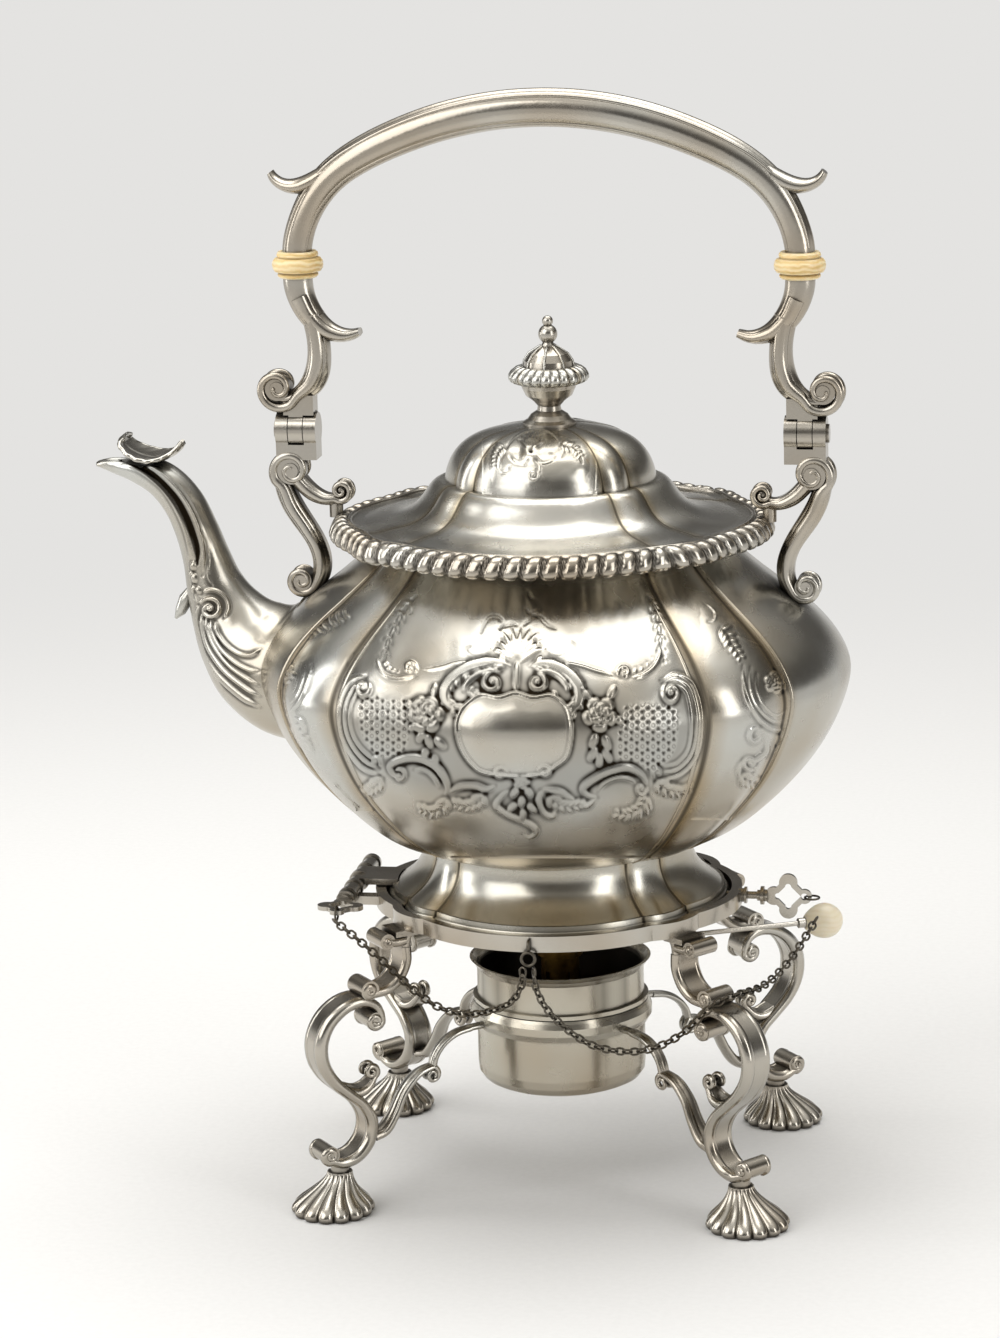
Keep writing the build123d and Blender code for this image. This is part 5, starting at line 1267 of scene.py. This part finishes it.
# %% Reeds of the brackets and arms
HINGE_X, HINGE_Z = 88.0, 264.7
bracket_leg = [(5.2, -20.1, 6.4, 8.4), (2.4, -27.1, 7.0, 8.4), (-2.2, -34.3, 6.6, 8.0),
               (-6.1, -41.5, 6.2, 8.0), (-7.1, -48.7, 6.0, 8.0), (-5.0, -54.3, 5.2, 8.0)]
bracket_arm = [(0.6, -17.1, 6.0, 8.0), (-3.4, -21.3, 5.4, 7.4), (-8.4, -24.1, 4.4, 6.8),
               (-12.4, -24.1, 3.6, 6.2)]
arm_upper = [(-1.7, 53.9, 10.4, 9.6), (-2.6, 46.3, 9.8, 9.4), (-5.8, 39.9, 8.8, 9.0), (-11.0, 34.9, 7.0, 8.4),
             (-17.4, 32.9, 4.8, 7.6), (-22.8, 34.1, 2.8, 6.0)]
arm_lower = [(-6.4, 40.3, 8.0, 8.8), (-8.0, 32.3, 8.0, 8.8), (-8.2, 24.3, 8.4, 8.8), (-6.0, 16.9, 8.4, 8.8),
             (-1.0, 12.3, 6.0, 8.6)]
for hand, side in (("right", 1), ("left", -1)):
    runs = edge_reeds(bracket_leg, (HINGE_X, HINGE_Z), start=(2.2, -13.9, 4.8), end=(-0.2, -52.7, 3.6),
                      strap=False, side=side)
    runs += edge_reeds(bracket_arm, (HINGE_X, HINGE_Z), end=(-14.8, -21.1, 3.0), strap=False, side=side)
    wires(f"bracket_reeds_{hand}", runs, "kettle", cast_silver)
    runs = edge_reeds(arm_upper[1:], (HINGE_X, HINGE_Z), strap=False, side=side)
    runs += edge_reeds(arm_lower, (HINGE_X, HINGE_Z), end=(6.2, 14.7, 4.2), strap=False, side=side)
    wires(f"handle_reeds_{hand}", runs, "handle", cast_silver)

# %% [markdown]
# ## Chains
# The links are right as they are, but a chain has to stretch from the ring to its pin when the pin is drawn.
# A copy of each chain, with its doubled points merged and fewer faces, takes its place; it is not tied to the
# ring or to the pin.

# %% Chains with fewer faces
CHAIN_FACES = 0.2  # share of the faces that such small links need


def following_chain(node_name):
    """Copy of a chain with fewer faces, which takes the CAD chain's place."""
    source = nodes[node_name]
    piece = add_piece(node_name + "_links", source.data.copy())
    bpy.ops.object.mode_set(mode="EDIT")
    bpy.ops.mesh.select_all(action="SELECT")
    bpy.ops.mesh.remove_doubles(threshold=1e-6)
    bpy.ops.object.mode_set(mode="OBJECT")
    modifier = piece.modifiers.new("fewer_faces", "DECIMATE")
    modifier.ratio = CHAIN_FACES
    bpy.ops.object.modifier_apply(modifier="fewer_faces")
    bpy.ops.object.shade_smooth_by_angle(angle=math.radians(60))
    dress(piece, chain_silver)
    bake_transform(piece)
    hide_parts(node_name)
    print(piece.name, "faces:", len(piece.data.polygons))


following_chain("chain_left")
following_chain("chain_right")


# %% [markdown]
# ## Gadrooned border
# The border at the mouth is cast with slanting lobes, each followed by a deep groove with two
# thin reeds in it. The lobes change size, twist and side around the lobed plan, which an array
# of one lobe can't follow, so the ring is laid section by section: a closed outline, moved in
# and out by the relief, at a thousand places around the mouth.

# %% Rings with relief
def relief_ring(name, plan, section, relief, body, finish, columns):
    """Closed ring; section is rows of (outwards, z, share of relief), plan gives radii by angle."""
    angles = np.linspace(0, 2 * math.pi, columns, endpoint=False)
    out, up, share = np.array(section).T
    way_out = np.roll(out, -1) - np.roll(out, 1)
    way_up = np.roll(up, -1) - np.roll(up, 1)
    size = np.hypot(way_out, way_up)
    middle = (out.mean(), up.mean())
    facing = np.sign(((out - middle[0]) * way_up - (up - middle[1]) * way_out).sum())
    normal_out, normal_up = facing * way_up / size, -facing * way_out / size
    rise = relief(angles[:, None], np.arange(len(section))[None, :] / len(section)) * share
    reach = plan(angles)[:, None] * (1 + out / plan(angles).mean()) + rise * normal_out
    height = up + rise * normal_up
    x = AXIS_X + reach * np.sin(angles)[:, None] * MM
    y = -reach * np.cos(angles)[:, None] * MM
    spots = np.stack([x, y, height * MM], axis=-1).reshape(-1, 3)
    rows = len(section)
    index = np.arange(columns * rows).reshape(columns, rows)
    faces = np.stack([index, np.roll(index, -1, 0), np.roll(np.roll(index, -1, 0), -1, 1),
                      np.roll(index, -1, 1)], axis=-1).reshape(-1, 4)
    mesh = bpy.data.meshes.new(name)
    mesh.from_pydata(spots.tolist(), [], faces.tolist())
    piece = add_piece(name, mesh)
    mark_tarnish_and_shade(mesh, np.clip(-rise * 1.6, 0, 0.85))
    return finished(piece, body, finish)


# %% Border at the mouth
LOBES = 72
LOBE_SHARE = 0.7  # of each period; the rest is groove and reeds
rim_tree = surface_tree(nodes["gadroon_rim"])
RIM_MIDDLE_Z = 232.6


def rim_plan(angles):
    """Radius of the border without its lobes, in mm."""
    found = np.array([math.hypot(*beside(rim_tree, math.degrees(angle), RIM_MIDDLE_Z)[:2])
                      for angle in np.linspace(0, 2 * math.pi, 720, endpoint=False)])
    window = 10
    padded = np.r_[found[-window:], found, found[:window]]
    smooth = np.convolve(padded, np.ones(2 * window + 1) / (2 * window + 1), mode="valid")
    return np.interp(angles, np.linspace(0, 2 * math.pi, 721), np.r_[smooth, smooth[0]])


def gadroons(angles, way):
    """Relief of fat slanting lobes with a groove and two reeds between them."""
    turn = np.degrees(angles) % 180
    side = np.where((turn < 40) | (turn > 140), 1.0, -1.0)
    phase = (angles * LOBES / (2 * math.pi) + side * way * 0.8) % 1
    lobe = np.clip(np.sin(math.pi * phase / LOBE_SHARE), 0, 1) ** 0.4 * 0.75 - 0.1
    reeds = -0.8 + 0.5 * np.abs(np.sin(2 * math.pi * (phase - LOBE_SHARE) / (1 - LOBE_SHARE)))
    return np.where(phase < LOBE_SHARE, lobe, reeds)


# %% Section of the border
RIM_SECTION = (
    (-16.3, 230.1, 0), (-16.3, 233.1, 0), (-7.5, 233.1, 0), (-7.5, 235.2, 0), (-7.0, 235.7, 0),
    (-6.3, 235.7, 0), (-5.9, 235.1, 0), (-5.3, 235.1, 0.5), (-4.6, 235.3, 1), (-3.7, 235.3, 1),
    (-2.8, 235.0, 1), (-2.0, 234.5, 1), (-1.3, 233.8, 1), (-0.8, 232.9, 1), (-0.4, 231.9, 1),
    (-0.1, 230.9, 1),
    (-0.2, 229.9, 1), (-0.8, 229.1, 1), (-1.9, 228.6, 1), (-3.2, 228.6, 0.5), (-6.0, 229.2, 0))
border = relief_ring("gadroon_border", rim_plan, RIM_SECTION, gadroons, "kettle", cast_silver,
                     LOBES * 14)
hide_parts("gadroon_rim")

# %% [markdown]
# The finial's shoulder is fluted in the same way, with more and finer lobes, and eight thin
# lines run over its cap.

# %% Flutes of the finial's shoulder
FINIAL_BASE = 267.1
FINIAL_FLUTES = 24


def flutes(angles, way):
    """Rounded flutes that curl a little on their way down."""
    phase = (angles * FINIAL_FLUTES / (2 * math.pi) + way * 0.5) % 1
    return np.sqrt(np.sin(math.pi * phase)) * 0.9 - 0.55


SHOULDER_SECTION = tuple((out, FINIAL_BASE + up, share) for out, up, share in (
    (-5.0, 20.4, 0), (-3.6, 20.3, 0.5), (-2.2, 19.6, 1), (-0.9, 18.6, 1), (-0.1, 17.4, 1), (0.0, 16.3, 1),
    (-0.7, 15.4, 1), (-1.9, 14.8, 0.8), (-3.2, 14.3, 0.3), (-4.6, 14.1, 0), (-6.5, 15.0, 0), (-6.5, 19.6, 0)))
relief_ring("finial_shoulder", lambda angles: np.full(np.shape(angles), 13.6), SHOULDER_SECTION, flutes,
            "lid", lid_silver, FINIAL_FLUTES * 12)

# %% Lines of the finial's cap
cap_lines = []
for number in range(8):
    bend = 2 * math.pi * number / 8
    line = [(8.75, 20.2), (8.35, 22.2), (6.75, 24.6), (4.2, 26.2), (2.5, 27.3)]
    cap_lines.append([(reach * math.sin(bend), -reach * math.cos(bend), FINIAL_BASE + rise, 0.45)
                      for reach, rise in line])
wires("finial_cap_lines", cap_lines, "lid", lid_silver)

# %% [markdown]
# The grip has a fine reed at both sides of its back and along its underside.

# %% Reeds of the grip
GRIP_CENTRE_Z, GRIP_RADIUS, GRIP_TURN = 242.4, 132.6, 29.86
SHOULDER_CENTRE, SHOULDER_RADIUS, SHOULDER_TURN = (45.7, 322.1), 40.76, 84.0


def grip_line(lift, aside, radius):
    """Run along the arch, lifted from its middle line and set aside from it."""
    run = []
    arch = ((0.0, GRIP_CENTRE_Z), GRIP_RADIUS)
    shoulder = (SHOULDER_CENTRE, SHOULDER_RADIUS)
    for (centre, reach), side, start, end in ((shoulder, -1, SHOULDER_TURN, GRIP_TURN),
                                              (arch, 1, -GRIP_TURN, GRIP_TURN),
                                              (shoulder, 1, GRIP_TURN, SHOULDER_TURN)):
        for turn in np.linspace(start, end, 30)[:-1]:
            bend = math.radians(turn)
            size = 1 - 0.24 * (abs(centre[0] + reach * math.sin(bend)) / 86.3) ** 3
            x = centre[0] + (reach + lift * size) * math.sin(bend)
            z = centre[1] + (reach + lift * size) * math.cos(bend)
            run.append((side * x, aside * size, z, radius * size))
    return run


wires("grip_reeds", [grip_line(lift, aside, radius) for lift, aside, radius in (
    (4.6, -4.2, 0.75), (4.6, 4.2, 0.75), (-4.4, -4.2, 0.6), (-4.4, 4.2, 0.6))], "handle",
      cast_silver)

# %% [markdown]
# ## Spout
# The swan neck is one smooth tube whose section grows from the beak to the body. It is laid as a grid of
# rings along a smooth line, so that its reflections run without a break, and its top is pressed in at the
# beak, where the water leaves, with shade painted into that trough.

# %% Swan neck
NECK_LINE = (  # x, z, height and width of the section
    (-160.2, 251.7, 1.6, 2.6), (-157.6, 252.0, 4.0, 6.2), (-153.4, 251.9, 6.9, 9.8),
    (-144.7, 250.0, 10.3, 13.2), (-136.3, 245.9, 12.9, 14.6), (-129.6, 238.2, 14.3, 15.2),
    (-125.2, 228.3, 15.2, 15.9), (-122.1, 218.5, 16.9, 17.4), (-119.4, 208.7, 20.6, 20.8),
    (-115.6, 199.8, 26.4, 26.2), (-110.5, 191.8, 34.2, 34.0), (-103.5, 185.0, 42.8, 42.6),
    (-95.0, 180.8, 49.0, 49.6), (-86.5, 179.5, 52.0, 54.0))
NECK_COLUMNS = 72
TROUGH = (-159.5, -140.0)  # x of the open part of the beak

line, share = smooth_line(NECK_LINE, density=0.8)
way = np.gradient(line[:, :2], axis=0)
way /= np.linalg.norm(way, axis=1)[:, None]
turn = np.linspace(0, 2 * math.pi, NECK_COLUMNS, endpoint=False)[None, :]  # 0 is the upper side
opened = np.clip(np.minimum(line[:, 0] - TROUGH[0], TROUGH[1] - line[:, 0]) / 5.0, 0, 1)[:, None]
pressed = opened * np.exp(-((np.minimum(turn, 2 * math.pi - turn)) / 0.75) ** 2)
tall = line[:, 2:3] / 2 * np.cos(turn) * (1 - 1.05 * pressed)
spots = np.stack([AXIS_X + (line[:, :1] - way[:, 1:] * tall) * MM, line[:, 3:] / 2 * np.sin(turn) * MM,
                  (line[:, 1:2] + way[:, :1] * tall) * MM], axis=-1)
rows = len(line)
index = np.arange(rows * NECK_COLUMNS).reshape(rows, NECK_COLUMNS)
faces = np.stack([index[:-1], index[1:], np.roll(index, -1, 1)[1:], np.roll(index, -1, 1)[:-1]], axis=-1)
faces = [*faces.reshape(-1, 4).tolist(), index[0].tolist(), index[-1].tolist()]
neck_mesh = bpy.data.meshes.new("swan_neck")
neck_mesh.from_pydata(spots.reshape(-1, 3).tolist(), [], faces)
neck = add_piece("swan_neck", neck_mesh)
# Painted shade in the pressed trough of the beak, where the open spout is dark.
mark_tarnish_and_shade(neck_mesh, np.clip(pressed * 1.2 - 0.3, 0, 0.85))
finished(neck, "kettle", body_silver)
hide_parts("spout")
print("swan neck rings:", rows)

# %% Spur below the neck
wires("neck_spur", [[(-128.0, 0, 208.0, 1.4), (-130.2, 0, 204.0, 2.6), (-132.4, 0, 199.6, 2.0),
                     (-134.2, 0, 197.0, 0.5)]], "kettle", body_silver)

# %% [markdown]
# A raised moulding runs down the front of the neck with a deep channel beside it, which ends in small leaves;
# shade is painted on the channel's floor. Below them a volute sits on each side, and flutes sweep from it
# round the belly.
# The sheet is laid on the near side, and its mirror image on the far one.

# %% Flutes and mouldings of the spout
SPOUT_CORNER = (90.0, 440.0)
SPOUT_SCALE = 4.0
spout_sheet = ChasedSheet(SPOUT_CORNER, SPOUT_SCALE, (60, 60), (720, 1120), 3.0)


def spout_path(points):
    """Points of the drawing frame on the spout's sheet."""
    return [((x - SPOUT_CORNER[0]) * SPOUT_SCALE, (y - SPOUT_CORNER[1]) * SPOUT_SCALE) for x, y in points]


for points, width, height, groove in (
        (((199, 604), (197, 622), (202, 646), (216, 672), (240, 695), (262, 708)), 24, 1.3, 0.5),
        (((203, 608), (203, 626), (209, 648), (224, 670), (246, 688), (262, 697)), 20, 1.1, 0.5),
        (((207, 612), (208, 628), (215, 647), (230, 666), (248, 679), (260, 685)), 18, 1.0, 0.5),
        (((211, 618), (213, 632), (221, 648), (235, 662), (250, 670), (260, 671)), 20, 1.0, 0.5),
        (((215, 620), (219, 634), (228, 646), (240, 654), (252, 655), (263, 648)), 20, 1.1, 0.6),
        (((118, 463), (136, 468), (152, 478), (165, 490), (176, 507), (185, 527), (190, 546), (192, 562)),
         15, 0.8, 0.35),
        (((136, 462), (154, 469), (171, 483), (184, 499), (194, 517), (201, 537), (204, 556), (203, 576)),
         13, 0.8, 0.35),
        (((200, 530), (206, 545), (209, 560), (208, 574), (212, 586)), 8, 0.4, 0.3),
        (((202, 592), (214, 590), (225, 597), (229, 608), (225, 619)), 14, 0.9, 0.4)):
    ridge(spout_sheet, spout_path(points), width, height, groove=groove, ends=0.12)

# %% Channel with painted shade, volute and leaves of the spout
CHANNEL = ((130, 464), (148, 471), (163, 483), (177, 499), (187, 517), (195, 537), (198, 552), (197, 564))
CHANNEL_PAINTED_SHADE = ((124, 461), (138, 464), (154, 472), (168, 484), (181, 499), (191, 517), (198, 537),
                 (201, 552), (198, 566), (194, 552), (190, 538), (182, 519), (172, 502), (160, 488),
                 (146, 476), (132, 468))
ridge(spout_sheet, spout_path(CHANNEL), 1, 0.0, groove=0.7, spread=6.0, ends=0.08)
# Painted shade on the floor of the channel.
stain_and_shade(spout_sheet, spout_path(CHANNEL_PAINTED_SHADE), 0.9, 5)
volute(spout_sheet, *spout_path([(211, 609)])[0], 46, 200, 1.5, 20, 1.4)
for x, y, turn, size in ((194, 566, 90, 22), (195, 578, 80, 24), (192, 590, 110, 24), (199, 590, 60, 20),
                         (192, 602, 95, 22), (190, 574, 120, 18)):
    petal(spout_sheet, *spout_path([(x, y)])[0], turn, size, size * 0.5, 1.0, groove=0.4, vein=0.3)
lay_sheet("spout_chasing", spout_sheet, surface_tree(neck), "kettle", body_silver,
          copy="mirror", calm=1)

# %% [markdown]
# A leaf lies curled on the lip. It is a thin shell, wider than it is long, with veins that
# spread from its root, and it gets its thickness from a Solidify modifier.

# %% Leaf on the lip
LEAF_LINE = ((-128.8, 259.4), (-130.6, 257.0), (-134.0, 254.9), (-138.4, 253.9), (-143.0, 254.5),
             (-147.4, 256.3), (-150.4, 258.9), (-150.9, 261.0), (-149.4, 262.2))
LEAF_HALF = (1.2, 4.6, 8.4, 10.6, 11.4, 11.0, 9.6, 7.6, 5.0)
LEAF_ACROSS = 48
LEAF_WALL = 1.3  # mm
line, share = smooth_line(LEAF_LINE, density=0.4)
half = np.interp(share, np.linspace(0, 1, len(LEAF_HALF)), LEAF_HALF)
across = np.linspace(-1, 1, LEAF_ACROSS)[None, :]
lobing = 1 + 0.03 * np.cos(share * 7 * 2 * math.pi)[:, None]
way = np.gradient(line, axis=0)
way /= np.linalg.norm(way, axis=1)[:, None]
phase = share[:, None] * 7 + 1.4 * np.abs(across)
veins = 0.06 * np.cos(phase * 2 * math.pi) * np.abs(across) ** 0.5
lift = 0.9 * np.abs(across) ** 2.5 + veins + 0.3 * np.exp(-(across / 0.08) ** 2)
leaf_x = line[:, :1] + way[:, 1:] * lift
leaf_z = line[:, 1:] - way[:, :1] * lift
spots = np.stack([AXIS_X + leaf_x * MM, across * (half[:, None] * lobing) * MM, leaf_z * MM], axis=-1)

# %% Leaf from a grid
bpy.ops.object.select_all(action="DESELECT")
bpy.ops.mesh.primitive_grid_add(x_subdivisions=LEAF_ACROSS - 1, y_subdivisions=len(line) - 1)
leaf = bpy.context.object
leaf.name = "lip_leaf"
leaf.data.vertices.foreach_set("co", spots.reshape(-1))
leaf.data.update()
modifier = leaf.modifiers.new("wall", "SOLIDIFY")
modifier.thickness = LEAF_WALL * MM
modifier.offset = 0.0
bpy.ops.object.modifier_apply(modifier="wall")
finished(leaf, "kettle", cast_silver)
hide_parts("spout_lip")

# %% [markdown]
# The edge of the leaf is rolled over a wire, which shows as a bright round rim.

# %% Rolled rim of the leaf
RIM_WIRE = 0.75  # mm, radius
leaf_rim = [[(x / MM - AXIS_X / MM, y / MM, z / MM, RIM_WIRE) for x, y, z in edge]
            for edge in (spots[:, 0], spots[:, -1], spots[-1])]
wires("leaf_rim", leaf_rim, "kettle", cast_silver)

# %% [markdown]
# ## Floor and light
# A pale floor runs far enough to be the whole background. Polished silver shows the room
# rather than itself, so the room matters more than the lamps: bright soft boxes above and at
# both sides, and a darker band between them that gives the curves their edges.

# %% Floor
PAPER_LIT = 0.35  # m from the middle, where the paper shows the lamps' light
PAPER_FADED = 1.2  # m, beyond which it keeps one even tone
bpy.ops.object.select_all(action="DESELECT")
bpy.ops.mesh.primitive_plane_add(size=30.0, location=(AXIS_X, 0, 0))
floor = bpy.context.object
floor.name = "studio_floor"
bpy.ops.object.transform_apply(location=True)

# %% [markdown]
# Near the kettle the paper is lit by the lamps and keeps the shadow. Further away it fades into
# one even tone, but only for what the camera and the polished metal see of it.

# %% Paper
FIBRE = 2.5  # mm between fibres, coarser than real ones so that they show
floor_material, tree = new_material("matt_studio_paper")
coords = add_node(tree, "ShaderNodeTexCoord")
fibre = add_node(tree, "ShaderNodeTexNoise", Vector=(coords, "Object"), Scale=1 / (FIBRE * MM), Detail=2.0)
paper = add_node(tree, "ShaderNodeValToRGB", stops=((0.3, "#dddcda"), (0.7, "#e0dfdd")), _0=(fibre, 0))
near = add_node(tree, "ShaderNodeBsdfPrincipled", Base_Color=(paper, 0), Roughness=0.85)
far = add_node(tree, "ShaderNodeEmission", Color=colour("#e4e3e1"), Strength=1.0)
distance = add_node(tree, "ShaderNodeVectorMath", {"operation": "LENGTH"}, _0=(coords, "Object"))
away = add_node(tree, "ShaderNodeMapRange", {"interpolation_type": "SMOOTHSTEP"}, Value=(distance, "Value"),
                From_Min=PAPER_LIT, From_Max=PAPER_FADED)
rays = add_node(tree, "ShaderNodeLightPath")
seen = add_node(tree, "ShaderNodeMath", {"operation": "ADD"}, _0=(rays, "Is Camera Ray"),
                _1=(rays, "Is Glossy Ray"))
seen_all = add_node(tree, "ShaderNodeMath", {"operation": "ADD", "use_clamp": True}, _0=(seen, 0),
                    _1=(rays, "Is Transmission Ray"))
share = add_node(tree, "ShaderNodeMath", {"operation": "MULTIPLY"}, _0=(away, 0), _1=(seen_all, 0))
shader = add_node(tree, "ShaderNodeMixShader", _0=(share, 0), _1=(near, 0), _2=(far, 0))
add_node(tree, "ShaderNodeOutputMaterial", Surface=(shader, 0))
dress(floor, floor_material)
print("paper:", len(tree.nodes), "nodes")

# %% World
world = bpy.data.worlds.new("studio_room")
bpy.context.scene.world = world
world.use_nodes = True
tree = world.node_tree
tree.nodes.clear()
coords = add_node(tree, "ShaderNodeTexCoord")
parts = add_node(tree, "ShaderNodeSeparateXYZ", _0=(coords, "Generated"))
ROOM = ((0.0, "#e4e3e1"), (0.06, "#c9c9c8"), (0.16, "#5c5a58"), (0.42, "#5f5d5a"), (0.62, "#a8a7a4"),
        (0.8, "#f2f1ee"))  # from straight down to straight up
room = add_node(tree, "ShaderNodeValToRGB", stops=ROOM, _0=(parts, "Z"))
background = add_node(tree, "ShaderNodeBackground", Color=(room, 0), Strength=1.0)
add_node(tree, "ShaderNodeOutputWorld", Surface=(background, 0))
print("room:", len(ROOM), "tones")


# %% Lamps
def soft_box(name, at, toward, width, height, power):
    """Rectangular studio light that faces a point."""
    bpy.ops.object.light_add(type="AREA", location=at)
    lamp = bpy.context.object
    lamp.name = name
    lamp.data.shape = "RECTANGLE"
    lamp.data.size = width
    lamp.data.size_y = height
    lamp.data.energy = power
    lamp.rotation_euler = (toward - at).to_track_quat("-Z", "Y").to_euler()
    return lamp


middle = place(0, 0, 190)
soft_box("key_box", place(-1200, -1300, 1300), middle, 1.6, 1.8, 24)
soft_box("fill_box", place(1500, -900, 700), middle, 0.5, 1.4, 8)
soft_box("top_box", place(0, 300, 1900), middle, 1.8, 1.4, 22)
soft_box("left_strip", place(-1500, -100, 600), middle, 0.35, 1.4, 6)

bpy.context.scene.view_settings.view_transform = "Standard"

# %% Measure and finish
triangles = {}
for piece in bpy.context.scene.objects:
    if piece.type == "MESH":
        triangles[piece.name] = sum(polygon.loop_total - 2 for polygon in piece.data.polygons)
made = {name: count for name, count in triangles.items() if name not in nodes}
print("triangles:", sum(triangles.values()), "of which made here:", sum(made.values()))
print("largest:", sorted(made.items(), key=lambda item: -item[1])[:3])
